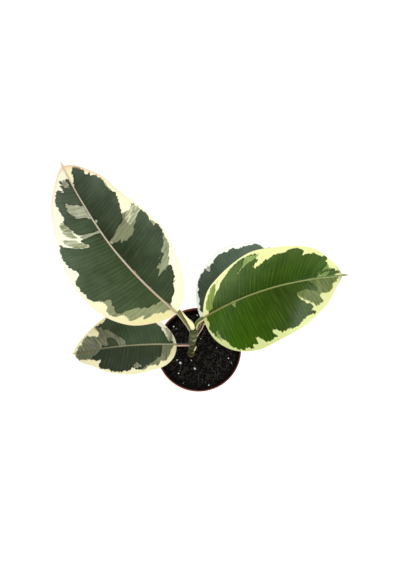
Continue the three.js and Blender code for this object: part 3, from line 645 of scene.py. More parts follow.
RIGHT["patches"] = [
    ("#7d9433", 0.05, False, [
        (0.05, -0.02), (0.045, 0.1), (0.03, 0.3), (0.035, 0.5), (0.045, 0.62), (0.06, 0.75), (0.075, 0.86),
        (0.095, 0.9), (0.11, 0.83), (0.12, 0.88), (0.13, 0.88), (0.12, 0.8), (0.11, 0.72), (0.105, 0.6),
        (0.1, 0.45), (0.1, 0.1),
    ]),
    ("#86a04e", 0.1, True, [
        (0.255, 0.62), (0.27, 0.68), (0.29, 0.78), (0.3, 0.9), (0.335, 0.9), (0.365, 0.87), (0.355, 0.8),
        (0.32, 0.77),
    ]),
    ("#86a04e", 0.05, True, [(0.06, -0.6), (0.068, -0.62), (0.08, -0.85), (0.055, -0.85)]),
    ("#58682a", 0.12, False, [
        (0.56, -0.25), (0.6, -0.5), (0.64, -0.7), (0.655, -0.83), (0.665, -0.8), (0.69, -0.83),
        (0.715, -0.83), (0.71, -0.75), (0.705, -0.65), (0.71, -0.6), (0.735, -0.6), (0.755, -0.69),
        (0.78, -0.76), (0.8, -0.79), (0.815, -0.76), (0.82, -0.62), (0.83, -0.72), (0.825, -0.6),
        (0.845, -0.62), (0.862, -0.77), (0.868, -0.65), (0.87, -0.56), (0.885, -0.5), (0.9, -0.38),
        (0.91, -0.2), (0.91, 0.02), (0.68, 0.02), (0.66, -0.2),
    ]),
    ("#6f8a42", 0.1, False, [
        (0.74, -0.02), (0.74, 0.5), (0.755, 0.72), (0.775, 0.72), (0.79, 0.62), (0.8, 0.7), (0.83, 0.5),
        (0.84, 0.2), (0.86, -0.02),
    ]),
    ("#86a04e", 0.05, True, [(0.21, 0), (0.21, -0.03), (0.225, -0.14), (0.235, -0.05), (0.235, 0)]),
]
print("right leaf:", len(RIGHT["green"]), "green outlines,", len(RIGHT["patches"]), "patches")

# %% Outlines of the low left leaf
LEFT_LOW["green"] = [
    [
        (0.155, -0.02), (0.155, 0.08), (0.158, 0.3), (0.165, 0.45), (0.18, 0.53), (0.2, 0.51), (0.207, 0.6),
        (0.22, 0.68), (0.24, 0.72), (0.26, 0.72), (0.28, 0.75), (0.3, 0.8), (0.32, 0.84), (0.345, 0.87),
        (0.38, 0.85), (0.4, 0.8), (0.415, 0.8), (0.43, 0.86), (0.45, 0.89), (0.48, 0.89), (0.5, 0.92),
        (0.54, 0.935), (0.57, 0.95), (0.6, 0.93), (0.61, 0.9), (0.645, 0.94), (0.67, 0.94), (0.7, 0.93),
        (0.703, 0.85), (0.7, 0.72), (0.705, 0.62), (0.715, 0.64), (0.735, 0.7), (0.75, 0.66), (0.782, 0.64),
        (0.785, 0.55), (0.775, 0.45), (0.765, 0.35), (0.75, 0.25), (0.738, 0.15), (0.73, 0.08),
        (0.73, -0.02),
    ],
    [
        (0.04, 0.02), (0.04, -0.24), (0.07, -0.2), (0.09, -0.25), (0.1, -0.38), (0.11, -0.5),
        (0.125, -0.62), (0.135, -0.72), (0.15, -0.82), (0.25, -0.88), (0.35, -0.86), (0.45, -0.9),
        (0.56, -0.95), (0.575, -0.92), (0.6, -0.9), (0.63, -0.91), (0.67, -0.93), (0.655, -0.87),
        (0.635, -0.8), (0.625, -0.72), (0.61, -0.65), (0.59, -0.6), (0.58, -0.52), (0.565, -0.45),
        (0.55, -0.4), (0.53, -0.28), (0.51, -0.2), (0.5, -0.12), (0.495, 0.02),
    ],
    [
        (0.565, 0.02), (0.57, -0.15), (0.58, -0.25), (0.595, -0.33), (0.61, -0.35), (0.645, -0.35),
        (0.655, -0.25), (0.66, -0.1), (0.68, -0.1), (0.695, -0.17), (0.71, -0.18), (0.72, -0.08),
        (0.715, 0.02),
    ],
]
LEFT_LOW["patches"] = [
    ("#656b4d", 0.1, False, [
        (0.16, -0.02), (0.03, 0), (0.03, 0.06), (0.05, 0.25), (0.07, 0.45), (0.09, 0.62), (0.105, 0.78),
        (0.13, 0.77), (0.15, 0.74), (0.165, 0.72), (0.18, 0.8), (0.19, 0.84), (0.205, 0.84), (0.215, 0.78),
        (0.24, 0.8), (0.27, 0.83), (0.3, 0.89), (0.325, 0.9), (0.35, 0.84), (0.3, 0.7), (0.22, 0.5),
    ]),
    ("#5c614a", 0.06, False, [
        (0.7, -0.05), (0.72, 0.3), (0.75, 0.6), (0.785, 0.68), (0.8, 0.68), (0.82, 0.64), (0.83, 0.73),
        (0.86, 0.76), (0.89, 0.85), (0.9, 0.97), (0.93, 0.99), (0.945, 0.7), (0.945, -0.05),
    ]),
    ("#70745f", 0.1, True, [
        (0.345, 0.75), (0.365, 0.64), (0.39, 0.63), (0.41, 0.7), (0.4, 0.78), (0.37, 0.79),
    ]),
    ("#62654f", 0.12, False, [
        (0.48, 0.05), (0.5, -0.4), (0.6, -0.75), (0.655, -0.9), (0.67, -0.92), (0.675, -0.8), (0.672, -0.7),
        (0.68, -0.62), (0.7, -0.58), (0.712, -0.62), (0.725, -0.7), (0.745, -0.73), (0.76, -0.78),
        (0.765, -0.85), (0.8, -0.88), (0.82, -0.91), (0.83, -0.9), (0.835, -0.78), (0.85, -0.7),
        (0.86, -0.65), (0.87, -0.72), (0.885, -0.78), (0.9, -0.7), (0.905, -0.55), (0.92, -0.5),
        (0.935, -0.4), (0.945, -0.2), (0.945, 0.05),
    ]),
    ("#767b58", 0.5, False, [
        (0.03, -0.1), (0.03, -0.95), (0.075, -0.97), (0.1, -0.8), (0.09, -0.45), (0.1, -0.3), (0.1, -0.1),
    ]),
]
print("low left leaf:", len(LEFT_LOW["green"]), "green outlines,", len(LEFT_LOW["patches"]), "patches")

# %% Outlines of the low back leaf
BACK_LOW["green"] = [
    [
        (0.05, -0.02), (0.05, 0.75), (0.08, 0.76), (0.12, 0.78), (0.135, 0.88), (0.15, 0.92), (0.175, 0.9),
        (0.19, 0.94), (0.22, 0.96), (0.25, 0.96), (0.29, 0.95), (0.315, 0.95), (0.31, 0.85), (0.325, 0.77),
        (0.345, 0.76), (0.355, 0.83), (0.375, 0.87), (0.4, 0.84), (0.415, 0.88), (0.45, 0.9), (0.48, 0.89),
        (0.5, 0.86), (0.52, 0.86), (0.54, 0.8), (0.56, 0.83), (0.58, 0.89), (0.6, 0.87), (0.62, 0.82),
        (0.645, 0.76), (0.67, 0.77), (0.73, 0.78), (0.76, 0.8), (0.79, 0.79), (0.805, 0.84), (0.83, 0.92),
        (0.86, 0.96), (0.875, 0.9), (0.9, 0.6), (0.92, 0.3), (0.92, -0.02),
    ],
    [
        (0.06, 0.02), (0.06, -0.5), (0.09, -0.7), (0.13, -0.82), (0.18, -0.8), (0.24, -0.9), (0.3, -0.92),
        (0.33, -0.8), (0.37, -0.84), (0.42, -0.93), (0.5, -0.9), (0.53, -0.8), (0.57, -0.86), (0.63, -0.93),
        (0.7, -0.85), (0.76, -0.88), (0.82, -0.78), (0.86, -0.8), (0.9, -0.5), (0.92, -0.2), (0.92, 0.02),
    ],
]
BACK_LOW["patches"] = [
    ("#8b917c", 0.4, False, [(0.3, 0.8), (0.35, 0.75), (0.36, 0.86), (0.345, 0.93), (0.31, 0.93)]),
    ("#6f7a5d", 0.4, False, [(0.3, -0.8), (0.37, -0.75), (0.36, -0.92), (0.32, -0.94)]),
    ("#6f7a5d", 0.3, False, [(0.8, 0.2), (0.93, 0.4), (0.95, 0.1), (0.95, -0.4), (0.8, -0.3)]),
]
print("low back leaf:", len(BACK_LOW["green"]), "green outlines,", len(BACK_LOW["patches"]), "patches")

# %% [markdown]
# ## One leaf as a mesh
#
# A blade is a thin closed shell. Its ring goes over the upper face from the right margin to the left,
# round the left edge, back under the lower face and round the right edge. The upper face has a narrow
# ridge for the midrib and a fine furrow along each side vein, and the lower face has the midrib's keel.
# The petiole is a tube with a shallow channel on top that runs on under the midrib and thins out there.

# %% Blade and petiole
BLADE_MIDDLE = 0.4  # depth of the leaf's middle layer under its upper face
THICK_INSIDE = 0.33  # half the thickness at the midrib, and at the margin
THICK_OUTSIDE = 0.2
EDGE_ANGLES = np.radians([36, 72, 108, 144])  # points round a leaf's edge
SHARE_POWER = 1.5  # above 1, a ring's points lie closest at the midrib
VEIN_SPACING = 3.8
VEIN_SHIFT = 1.9  # the veins of the right half start between those of the left
VEIN_WANDER = ((0.6, 5.3, 0.0), (0.4, 3.1, 2.0))  # reach, pace and phase of two sine waves along the midrib
FURROW_DEPTH = 0.05
FURROW_WIDTH = 0.6
RIDGE_HEIGHT = 0.45
RIDGE_DIP = 0.4  # of its height, on both sides of the ridge
RIDGE_DIP_PLACE = (2.0, 0.7)  # how far out the dip lies and how wide it is, in half widths of the midrib
RELIEF_FADE = 4.0  # ridge, keel and furrows fade where the blade is narrower than this
KEEL_WIDTH = (2.0, 0.7)
KEEL_DEPTH = (2.0, 0.4)
PETIOLE_RUN = 16.0
PETIOLE_STEPS = 60
PETIOLE_AROUND = 36
PETIOLE_LOW = 0.8  # how far its end lies under the midrib, as a share of its radius
PETIOLE_SWELL = (1.12, 0.3)  # how thick it is at the stem, and the share of its length where that ends
PETIOLE_THINS = (0.62, 0.38)  # the share of its length where it starts to thin, and what is left of it
CHANNEL_DEPTH = 0.2  # of the petiole, as a share of its radius
CHANNEL_WIDTH = 0.6  # in radians round the petiole
CHANNEL_FADES_IN = 0.15  # over this share of the petiole's length
TINT_STATIONS = (0.1, 0.5, 0.9)
FLUSH_STATIONS = (0.0, 0.12, 0.5, 0.9)


def ring_of_blade(columns):
    """The signed share, edge bulge and face of each point in a blade's ring. A share is an even step to
    the power SHARE_POWER. Bulge is the sine and face the cosine of the angle round the edge, so face is 1
    above and -1 below."""
    even = np.linspace(-1, 1, 2 * columns + 1)
    upper = np.sign(even) * np.abs(even) ** SHARE_POWER
    lower = upper[::-2]
    edge = np.ones(len(EDGE_ANGLES))
    share = np.concatenate([upper, edge, lower, -edge])
    bulge = np.concatenate([0 * upper, np.sin(EDGE_ANGLES), 0 * lower, np.sin(EDGE_ANGLES)])
    face = np.concatenate([0 * upper + 1, np.cos(EDGE_ANGLES), 0 * lower - 1, -np.cos(EDGE_ANGLES)])
    return share, bulge, face


def along_halves(values, stations, t, v):
    """Numbers or colours that change evenly from station to station, given for each half in turn."""
    left, right = (
        np.stack([np.interp(t, stations, column) for column in np.transpose(half)], -1)
        for half in values
    )
    return np.where((v > 0)[..., None], left, right)


def share_along(halves, stations, t, v):
    """One number at each point that changes evenly from station to station."""
    return along_halves(np.array(halves)[..., None], stations, t, v)[..., 0]


def tints(halves):
    """Hex values of both halves as linear colours."""
    return [[linear(colour) for colour in half] for half in halves]


def rib_distance(leaf, v, out, station):
    """Half the painted midrib's width, and the distance from its middle, which wanders a little."""
    off_rib = np.sign(v) * out - np.interp(station, leaf["rib_at"], leaf["rib_off"])
    return mix(*leaf["rib_width"], station) / 2, off_rib


def blade_relief(leaf, t, v, face, margin, off_rib, rib_width, station):
    """Height of the skin over the blade's middle layer: half the thickness on either face, plus the
    midrib's ridge above, its keel below, and a bell-shaped furrow along each side vein."""
    off_vein = (vein_place(leaf, t, v) + VEIN_SPACING / 2) % VEIN_SPACING - VEIN_SPACING / 2
    furrow = FURROW_DEPTH * bell(off_vein, FURROW_WIDTH) * np.sin(np.pi * np.clip(np.abs(v), 0, 1)) ** 0.5
    dip_place, dip_width = (share * rib_width for share in RIDGE_DIP_PLACE)
    dip = RIDGE_DIP * bell(np.abs(off_rib) - dip_place, dip_width)
    ridge = RIDGE_HEIGHT * (bell(off_rib, rib_width) - dip)
    keel = mix(*KEEL_DEPTH, station) * bell(off_rib, mix(*KEEL_WIDTH, station))
    half = mix(THICK_INSIDE, THICK_OUTSIDE, v**2)
    ends = np.clip(margin / RELIEF_FADE, 0, 1)
    relief = np.where(face > 0, ridge - furrow, -keel - furrow) * ends
    return face * half - BLADE_MIDDLE + np.abs(face) * relief


def vein_place(leaf, t, v):
    """Distance along the midrib to where the side vein leaves it, with the two halves out of step. Two
    sine waves make the spacing a little uneven."""
    place = t * leaf["length"] + VEIN_SHIFT * (v < 0)
    return place + sum(reach * np.sin(place / pace + phase) for reach, pace, phase in VEIN_WANDER)


def painted(leaf, t, v):
    """How deep each point lies in the green and in the nearest patch, and that patch's colour, whose alpha
    holds its share of flecks."""
    flat = unrolled(leaf, t, v).reshape(-1, 2)

    def depth_in(outline):
        drawn = np.array(outline)
        return depth_inside(flat, unrolled(leaf, drawn[:, 0], drawn[:, 1])).reshape(v.shape)

    green = np.max([depth_in(outline) for outline in leaf["green"]], axis=0)
    depths = np.stack([depth_in(outline) for *_, outline in leaf["patches"]])
    for depth, (_, _, shows_through, _) in zip(depths, leaf["patches"]):
        green = np.minimum(green, -depth) if shows_through else green
    tints_of = [np.append(linear(colour)[:3], flecks) for colour, flecks, _, _ in leaf["patches"]]
    return green, depths.max(0), np.array(tints_of)[depths.argmax(0)]


def blade_shell(leaf, rows, columns):
    """The blade's closed shell with everything that its finish needs at each point. Its rings lie closer
    together at the base and at the tip."""
    even = np.linspace(0, 1, rows)
    t = mix(even, (1 - np.cos(np.pi * even)) / 2, 0.5)[:, None]
    share, bulge, face = (part[None, :] for part in ring_of_blade(columns))
    _, margin = margin_at(leaf, t, share)
    edge_radius = np.minimum(THICK_OUTSIDE, margin / 2) / margin
    v = share * (1 - edge_radius) + np.sign(share) * edge_radius * bulge
    t = np.broadcast_to(t, v.shape)
    points, up, out, margin, station = blade_point(leaf, t, v)
    rib_width, off_rib = rib_distance(leaf, v, out, station)
    level = blade_relief(leaf, t, v, face, margin, off_rib, rib_width, station)
    green, sage, sage_tint = painted(leaf, t, v)
    return shell(
        points + level[..., None] * up,
        green=green,
        sage=sage,
        sage_tint=sage_tint,
        green_tint=along_halves(tints(leaf["greens"]), TINT_STATIONS, t, v),
        cream_tint=along_halves(tints(leaf["creams"]), TINT_STATIONS, t, v),
        bloom=share_along(leaf["bloom"], TINT_STATIONS, t, v) * np.abs(v),
        flush=share_along(leaf["flush"], FLUSH_STATIONS, t, v),
        rib=rib_width - np.abs(off_rib),
        vein=vein_place(leaf, t, v),
        out=np.sign(v) * out,
        edge=margin - out,
        along=station,
        under=(face < 0) * 1.0,
    )


def petiole_shell(leaf):
    """A tube from the stem past its elbow to the blade's base and on under the midrib. It is a little
    thicker at the stem, thins out under the blade and has a bell-shaped channel along its top."""
    place, _, _, up = midrib(leaf)
    radius = leaf["petiole"]
    seat = place[0] - radius * up[0]
    run = np.array([PETIOLE_RUN / leaf["length"]])
    end = (at_station(place, run) - PETIOLE_LOW * radius * at_station(up, run))[0]
    line = smooth_line([leaf["root"], leaf["elbow"], seat, end], PETIOLE_STEPS)
    u = np.linspace(0, 1, len(line))[:, None]
    off_top = wrapped(2 * np.pi * np.arange(PETIOLE_AROUND) / PETIOLE_AROUND - np.pi / 2)
    swells = mix(PETIOLE_SWELL[0], 1, np.clip(u / PETIOLE_SWELL[1], 0, 1))
    thins = mix(1, PETIOLE_THINS[1], np.clip((u - PETIOLE_THINS[0]) / (1 - PETIOLE_THINS[0]), 0, 1))
    channel = 1 - CHANNEL_DEPTH * bell(off_top, CHANNEL_WIDTH) * np.clip(u / CHANNEL_FADES_IN, 0, 1)
    grid = tube(line, radius * swells * thins * channel, PETIOLE_AROUND, up[0])
    return shell(grid, 1, off_top=off_top + 0 * u, along=u + 0 * off_top)


print("side veins every", VEIN_SPACING, "mm, a blade", 2 * THICK_INSIDE, "mm thick beside its midrib")

# %% [markdown]
# ## The finish of a leaf
#
# A rubber plant's leaf is covered by a thick wax-like cuticle, so it is smooth and softly glossy, IOR
# about 1.5, with a weaker mirror than bare plastic because the cuticle is uneven. Its colours come from
# the stored distances: noise stretched along the side veins is added to each distance before the edge is
# cut, which gives the jagged, combed edges that variegated leaves have.

# %% Leaf finish
JAG = 3.0  # how far the noise moves an edge either way, in mm
TEETH = (2.3, 9.0)  # size of the noise across and along the side veins, in mm
STREAKS = (1.0, 22.0)  # the fine parallel veins, drawn a little coarse so that they show
FLECKS = (2.0, 11.0)  # cream streaks inside the grey-green
CLOUDS = 18.0
EDGE_BLUR = 0.2
SAGE_BLUR = 0.4
OUTLINE_WIDTH = 1.7  # the green is darker over this distance from its edge
NOISE_SPAN = {"From Min": 0.3, "From Max": 0.7}  # where nearly all of a noise's values lie
CLOUD_SHADE = {"To Min": 0.85, "To Max": 1.15}  # how dark and how light the clouds are
RIB_SHADE = "#5d4030"  # painted shade: the thin brown line of the groove's shadow on both sides of the midrib
SPECK_SPACING = 13.0  # dried drops of hard water
SPECK_RADIUS = 0.45
SPECK_COLOUR = "#c9ccb8"
RIDGE_TURN = 1.3  # radians from the petiole's top to the pale line on either side
RIDGE_REACH = 0.45
BAND_TURN = -0.6  # the same for the one broad band
BAND_REACH = 0.75
BAND_CORE = 0.4  # share of a band's reach that has its full colour
PETIOLE_GRAIN = 2.0  # size of its brown freckles, in mm
FRECKLE = "#3a3220"


def grain(size):
    """The scale that makes noise on (vein, out) as large as a size across and along the side veins."""
    return (1 / size[0], 1 / size[1], 1.0)


def leaf_finish(name, look):
    """The blade's material. Cream is covered by grey-green and then by green, each where its distance,
    moved by noise, is positive; then come the thin rim, the midrib, the tip and the paler lower face."""

    def sockets(tree):
        numbers = ("green", "sage", "bloom", "flush", "rib", "vein", "out", "edge", "along", "under")
        stored = {key: add(tree, "Attribute", attribute_name=key).node.outputs["Fac"] for key in numbers}
        cream = add(tree, "Attribute", attribute_name="cream_tint")
        sage = add(tree, "Attribute", attribute_name="sage_tint")
        green = add(tree, "Attribute", attribute_name="green_tint")
        place = add(tree, "CombineXYZ", {"X": stored["vein"], "Y": stored["out"]})

        # noises
        stretched = add(tree, "VectorMath", {0: place, 1: grain(TEETH)}, operation="MULTIPLY")
        teeth = add(tree, "TexNoise", {"Vector": stretched, "Scale": 1.0, "Detail": 3.0, "Roughness": 0.6})
        stretched = add(tree, "VectorMath", {0: place, 1: grain(STREAKS)}, operation="MULTIPLY")
        streaks = add(tree, "TexNoise", {"Vector": stretched, "Scale": 1.0, "Detail": 2.0})
        stretched = add(tree, "VectorMath", {0: place, 1: grain(FLECKS)}, operation="MULTIPLY")
        flecks = add(tree, "TexNoise", {"Vector": stretched, "Scale": 1.0, "Detail": 2.0, "Distortion": 0.6})
        clouds = add(tree, "TexNoise", {"Vector": place, "Scale": 1 / CLOUDS, "Detail": 3.0})
        specks = add(tree, "TexVoronoi", {"Vector": place, "Scale": 1 / SPECK_SPACING})
        turn = add(tree, "Math", {0: stored["vein"], 1: 2 * np.pi / VEIN_SPACING}, operation="MULTIPLY")
        pleat = add(tree, "Math", {0: turn}, operation="COSINE")

        # edges of the green and the grey-green
        jag = add(tree, "MapRange", {"Value": teeth, "To Min": -JAG, "To Max": JAG})
        edge = add(tree, "Math", {0: stored["green"], 1: jag}, operation="ADD")
        green_cut = add(tree, "MapRange", {"Value": edge, "From Min": -EDGE_BLUR, "From Max": EDGE_BLUR})
        sage_edge = add(tree, "Math", {0: stored["sage"], 1: jag}, operation="SUBTRACT")
        sage_cut = add(tree, "MapRange", {"Value": sage_edge, "From Min": -SAGE_BLUR, "From Max": SAGE_BLUR})

        # shade: painted shade of the pleats, lighter along each side vein and darker between them, as their
        # relief would be lit; fine streaks and clouds of the leaf's own uneven tone; the green darkens at
        # its edge
        low, high = 1 - look["pleat"], 1 + look["pleat"]
        painted_pleat_shade = add(tree, "MapRange", {"Value": pleat, "From Min": -1.0, "To Min": low, "To Max": high})
        low, high = 1 - look["streak"], 1 + look["streak"]
        lines = {"Value": streaks, "To Min": low, "To Max": high, **NOISE_SPAN}
        shade = add(tree, "Math", {0: painted_pleat_shade, 1: add(tree, "MapRange", lines)}, operation="MULTIPLY")
        cloudy = {"Value": clouds, **NOISE_SPAN, **CLOUD_SHADE}
        shade = add(tree, "Math", {0: shade, 1: add(tree, "MapRange", cloudy)}, operation="MULTIPLY")
        dark_edge = {"Value": edge, "From Min": 0.2, "From Max": OUTLINE_WIDTH, "To Min": look["outline"]}
        darker = add(tree, "Math", {0: shade, 1: add(tree, "MapRange", dark_edge)}, operation="MULTIPLY")

        # the green, its painted sheen (a soft grey-green reflection painted towards the margin) and its pale
        # vein lines
        green = add(tree, "HueSaturation", {"Value": darker, "Color": green})
        sheen_share = add(tree, "Math", {0: stored["bloom"], 1: clouds}, operation="MULTIPLY")
        sheen_share = add(tree, "Math", {0: sheen_share, 1: 2.0}, operation="MULTIPLY")
        bloom = linear(look["bloom"])
        green = add(tree, "Mix", {"Factor": sheen_share, "A": green, "B": bloom}, data_type="RGBA")
        uneven = {"Value": streaks, "From Min": 0.35, "From Max": 0.65, "To Max": look["line"]}
        faint = add(tree, "MapRange", uneven)
        line = add(tree, "MapRange", {"Value": pleat, "From Min": 0.92, "From Max": 1.0, "To Max": faint})
        pale_line = linear(look["line_colour"])
        green = add(tree, "Mix", {"Factor": line, "A": green, "B": pale_line}, data_type="RGBA")

        # cream flecks in the grey-green, and the layers over one another
        flecked = {"Value": flecks, "From Min": 0.42, "From Max": 0.64, "To Max": sage.node.outputs["Alpha"]}
        fleck = add(tree, "MapRange", flecked)
        shaded_sage = add(tree, "HueSaturation", {"Value": shade, "Color": sage})
        sage = add(tree, "Mix", {"Factor": fleck, "A": shaded_sage, "B": cream}, data_type="RGBA")
        colour = add(tree, "Mix", {"Factor": sage_cut, "A": cream, "B": sage}, data_type="RGBA")
        colour = add(tree, "Mix", {"Factor": green_cut, "A": colour, "B": green}, data_type="RGBA")

        # the flushed rim, the midrib and the tip
        near_edge = {"Value": stored["edge"], "From Min": look["rim_width"], "From Max": 0.1}
        flushed = add(tree, "MapRange", {**near_edge, "To Max": stored["flush"]})
        rim = linear(look["rim"])
        colour = add(tree, "Mix", {"Factor": flushed, "A": colour, "B": rim}, data_type="RGBA")
        first, last = (linear(shown) for shown in look["rib"])
        rib = add(tree, "Mix", {"Factor": stored["along"], "A": first, "B": last}, data_type="RGBA")
        # painted shade: the groove on both sides of the midrib's ridge is painted darker, as in its shadow
        beside_rib = {"Value": stored["rib"], "From Min": -0.6, "From Max": -0.2, "To Max": 0.45}
        painted_groove_shade = add(tree, "MapRange", beside_rib)
        rib_shade = linear(RIB_SHADE)
        colour = add(tree, "Mix", {"Factor": painted_groove_shade, "A": colour, "B": rib_shade}, data_type="RGBA")
        rib_cut = add(tree, "MapRange", {"Value": stored["rib"], "From Min": -0.2, "From Max": 0.2})
        colour = add(tree, "Mix", {"Factor": rib_cut, "A": colour, "B": rib}, data_type="RGBA")
        near_tip = {"Value": stored["along"], "From Min": look["tip_from"], "From Max": 0.985}
        tip = add(tree, "MapRange", near_tip)
        colour = add(tree, "Mix", {"Factor": tip, "A": colour, "B": linear(look["tip"])}, data_type="RGBA")

        # dried drops of hard water, and the paler lower face
        drop = SPECK_RADIUS / SPECK_SPACING
        dried = {"Value": specks, "From Min": drop, "From Max": 0.5 * drop, "To Max": look["specks"]}
        speck = add(tree, "MapRange", dried)
        chalk = linear(SPECK_COLOUR)
        colour = add(tree, "Mix", {"Factor": speck, "A": colour, "B": chalk}, data_type="RGBA")
        pale = add(tree, "Mix", {"Factor": 0.5, "A": colour, "B": linear(look["under"])}, data_type="RGBA")
        colour = add(tree, "Mix", {"Factor": stored["under"], "A": colour, "B": pale}, data_type="RGBA")

        # gloss
        rough = look["roughness"]
        roughness = add(tree, "MapRange", {"Value": streaks, "To Min": rough - 0.08, "To Max": rough + 0.16})
        normal = add(tree, "Bump", {"Height": streaks, "Strength": 0.4, "Distance": 0.4 * MM})
        return {
            "Base Color": colour, "Roughness": roughness, "Normal": normal,
            "IOR": 1.5, "Specular IOR Level": look["specular"],
        }

    return material(name, sockets)


def petiole_finish(name, flank, ridge, one_side=False):
    """The petiole's material: the flank colour on the sides and in the channel, and a paler line where
    the flat top turns over into each side, or one broad band on the front alone."""
    middle, reach = (BAND_TURN, BAND_REACH) if one_side else (RIDGE_TURN, RIDGE_REACH)

    def sockets(tree):
        off_top = add(tree, "Attribute", attribute_name="off_top").node.outputs["Fac"]
        off_top = off_top if one_side else add(tree, "Math", {0: off_top}, operation="ABSOLUTE")
        away = add(tree, "Math", {0: off_top, 1: middle}, operation="SUBTRACT")
        away = add(tree, "Math", {0: away}, operation="ABSOLUTE")
        band = add(tree, "MapRange", {"Value": away, "From Min": reach, "From Max": BAND_CORE * reach})
        place = add(tree, "TexCoord").node.outputs["Object"]
        grainy = {"Vector": place, "Scale": per_metre(PETIOLE_GRAIN), "Detail": 3.0}
        noise = add(tree, "TexNoise", grainy)
        sides, top = linear(flank), linear(ridge)
        colour = add(tree, "Mix", {"Factor": band, "A": sides, "B": top}, data_type="RGBA")
        spots = add(tree, "MapRange", {"Value": noise, "From Min": 0.52, "From Max": 0.75, "To Max": 0.35})
        colour = add(tree, "Mix", {"Factor": spots, "A": colour, "B": linear(FRECKLE)}, data_type="RGBA")
        normal = add(tree, "Bump", {"Height": noise, "Strength": 0.3, "Distance": 0.4 * MM})
        return {"Base Color": colour, "Roughness": 0.42, "Normal": normal, "Specular IOR Level": 0.3}

    return material(name, sockets)


print("the green's edge wanders by", JAG, "mm at most, with teeth about", TEETH[0], "mm wide")

# %% [markdown]
# ## Four leaves of one plant
#
# The leaves differ in age and place, so each has its own colours, given for its left and its right half
# at three stations: the youngest is a fresh yellow-green, the old low ones are grey and dull. They were
# chosen beside the mean colours of spots on the real leaves, and changed until the lit leaves came close
# to those. Part of the difference between a leaf's two halves, and its greyer green towards some tips, is
# painted shade and sheen. The painted sheen is a soft grey-green reflection painted over the green towards
# the margin, the flush a pink rim that a leaf gets in bright light. All four finishes come from the same
# function, so that they stay one plant's.

# %% The four leaves
# The painted midrib lies off the blade's middle by rib_off, in mm, at the stations rib_at.
# The greens of each half are partly the leaf's own colour and partly painted shade and sheen, where one half
# lies in more shade or catches more sheen than the other.
BACK_LEFT.update(
    greens=(("#2f4118", "#344325", "#47513f"), ("#2a3a1a", "#232f14", "#384231")),
    creams=(("#ddd599", "#fefde4", "#fdf6da"), ("#fdfcd2", "#fffbd2", "#fbf0c4")),
    bloom=((0.0, 0.3, 0.3), (0.0, 0.25, 0.3)), flush=((0.9, 0.3, 0.05, 0.5), (0.9, 0.5, 0.25, 1.0)),
    rib_at=(0, 0.1, 0.5, 0.75, 0.85, 1), rib_off=(3, 2, 1.2, -0.5, -0.5, 0), rib_width=(2.1, 0.8),
)
# In a look, pleat says how far the painted shade of the pleats changes the colour and streak how far the
# fine streaks do, outline what is left of the shade at the green's edge, line how clear the side veins are,
# and specks how clear the dried drops are.
# bloom is painted reflection: in a look it is the sheen's colour, and beside a leaf's sizes its share at the
# margin, for each half at three stations.
BACK_LEFT_LOOK = dict(
    pleat=0.08, streak=0.24, outline=0.5, bloom="#77866f", line=0.22, line_colour="#6f7d58",
    rib=("#b5a188", "#c9bfa2"), rim="#eecba6", rim_width=3.0, tip="#efc9a4", tip_from=0.93,
    specks=0.6, under="#a4ae84", roughness=0.3, specular=0.15,
)
RIGHT.update(
    greens=(("#2c4800", "#2b4604", "#344f12"), ("#365a00", "#33480e", "#3b5018")),
    creams=(("#f2f5b0", "#f4f6a8", "#dcdc98"), ("#d6dd92", "#dfe59a", "#d2d294")),
    bloom=((0.5, 0.2, 0.15), (0.0, 0.0, 0.15)), flush=((0.2, 0.2, 0.2, 0.2), (0.2, 0.2, 0.2, 0.2)),
    rib_at=(0, 0.1, 0.3, 0.5, 0.65, 0.85, 1), rib_off=(-1.5, -1.5, -1.2, -1.5, -2, -2, 0),
    rib_width=(2.0, 0.75),
)
RIGHT_LOOK = dict(
    pleat=0.05, streak=0.22, outline=0.7, bloom="#6f8e38", line=0.42, line_colour="#6a8a34",
    rib=("#86823f", "#8ea85c"), rim="#dfe6a0", rim_width=1.0, tip="#66542a", tip_from=0.9,
    specks=0.0, under="#a9bf6e", roughness=0.25, specular=0.15,
)
LEFT_LOW.update(
    greens=(("#2e3822", "#2c3522", "#2e3828"), ("#3a4a2e", "#344128", "#343f28")),
    creams=(("#ece4b6", "#f4ecbe", "#f0e6b6"), ("#f0ead0", "#f0e8b8", "#f0e6bc")),
    bloom=((0.0, 0.0, 0.0), (0.1, 0.1, 0.2)), flush=((0.3, 0.2, 0.1, 0.3), (0.6, 0.3, 0.1, 0.3)),
    rib_at=(0, 1), rib_off=(0, 0), rib_width=(1.8, 0.9),
)
LEFT_LOW_LOOK = dict(
    pleat=0.08, streak=0.16, outline=0.55, bloom="#66756a", line=0.25, line_colour="#5c6850",
    rib=("#a3a07c", "#50583f"), rim="#eed6b0", rim_width=1.6, tip="#efe2bc", tip_from=0.95,
    specks=0.5, under="#98a17e", roughness=0.38, specular=0.12,
)
BACK_LOW.update(
    greens=(("#445044", "#4a5947", "#50604a"), ("#404c40", "#4a5947", "#50604a")),
    creams=(("#fdfdf2", "#fdfff4", "#fcfdf0"), ("#fdfdf2", "#fdfff4", "#fcfdf0")),
    bloom=((0.0, 0.1, 0.1), (0.0, 0.1, 0.1)), flush=((0.2, 0.3, 1.0, 1.0), (0.2, 0.3, 1.0, 1.0)),
    rib_at=(0, 1), rib_off=(0, 0), rib_width=(2.0, 1.0),
)
BACK_LOW_LOOK = dict(
    pleat=0.08, streak=0.16, outline=0.45, bloom="#66756a", line=0.2, line_colour="#66715a",
    rib=("#9a9474", "#6a7050"), rim="#8d8f80", rim_width=0.9, tip="#a89c80", tip_from=0.95,
    specks=0.4, under="#98a17e", roughness=0.38, specular=0.12,
)

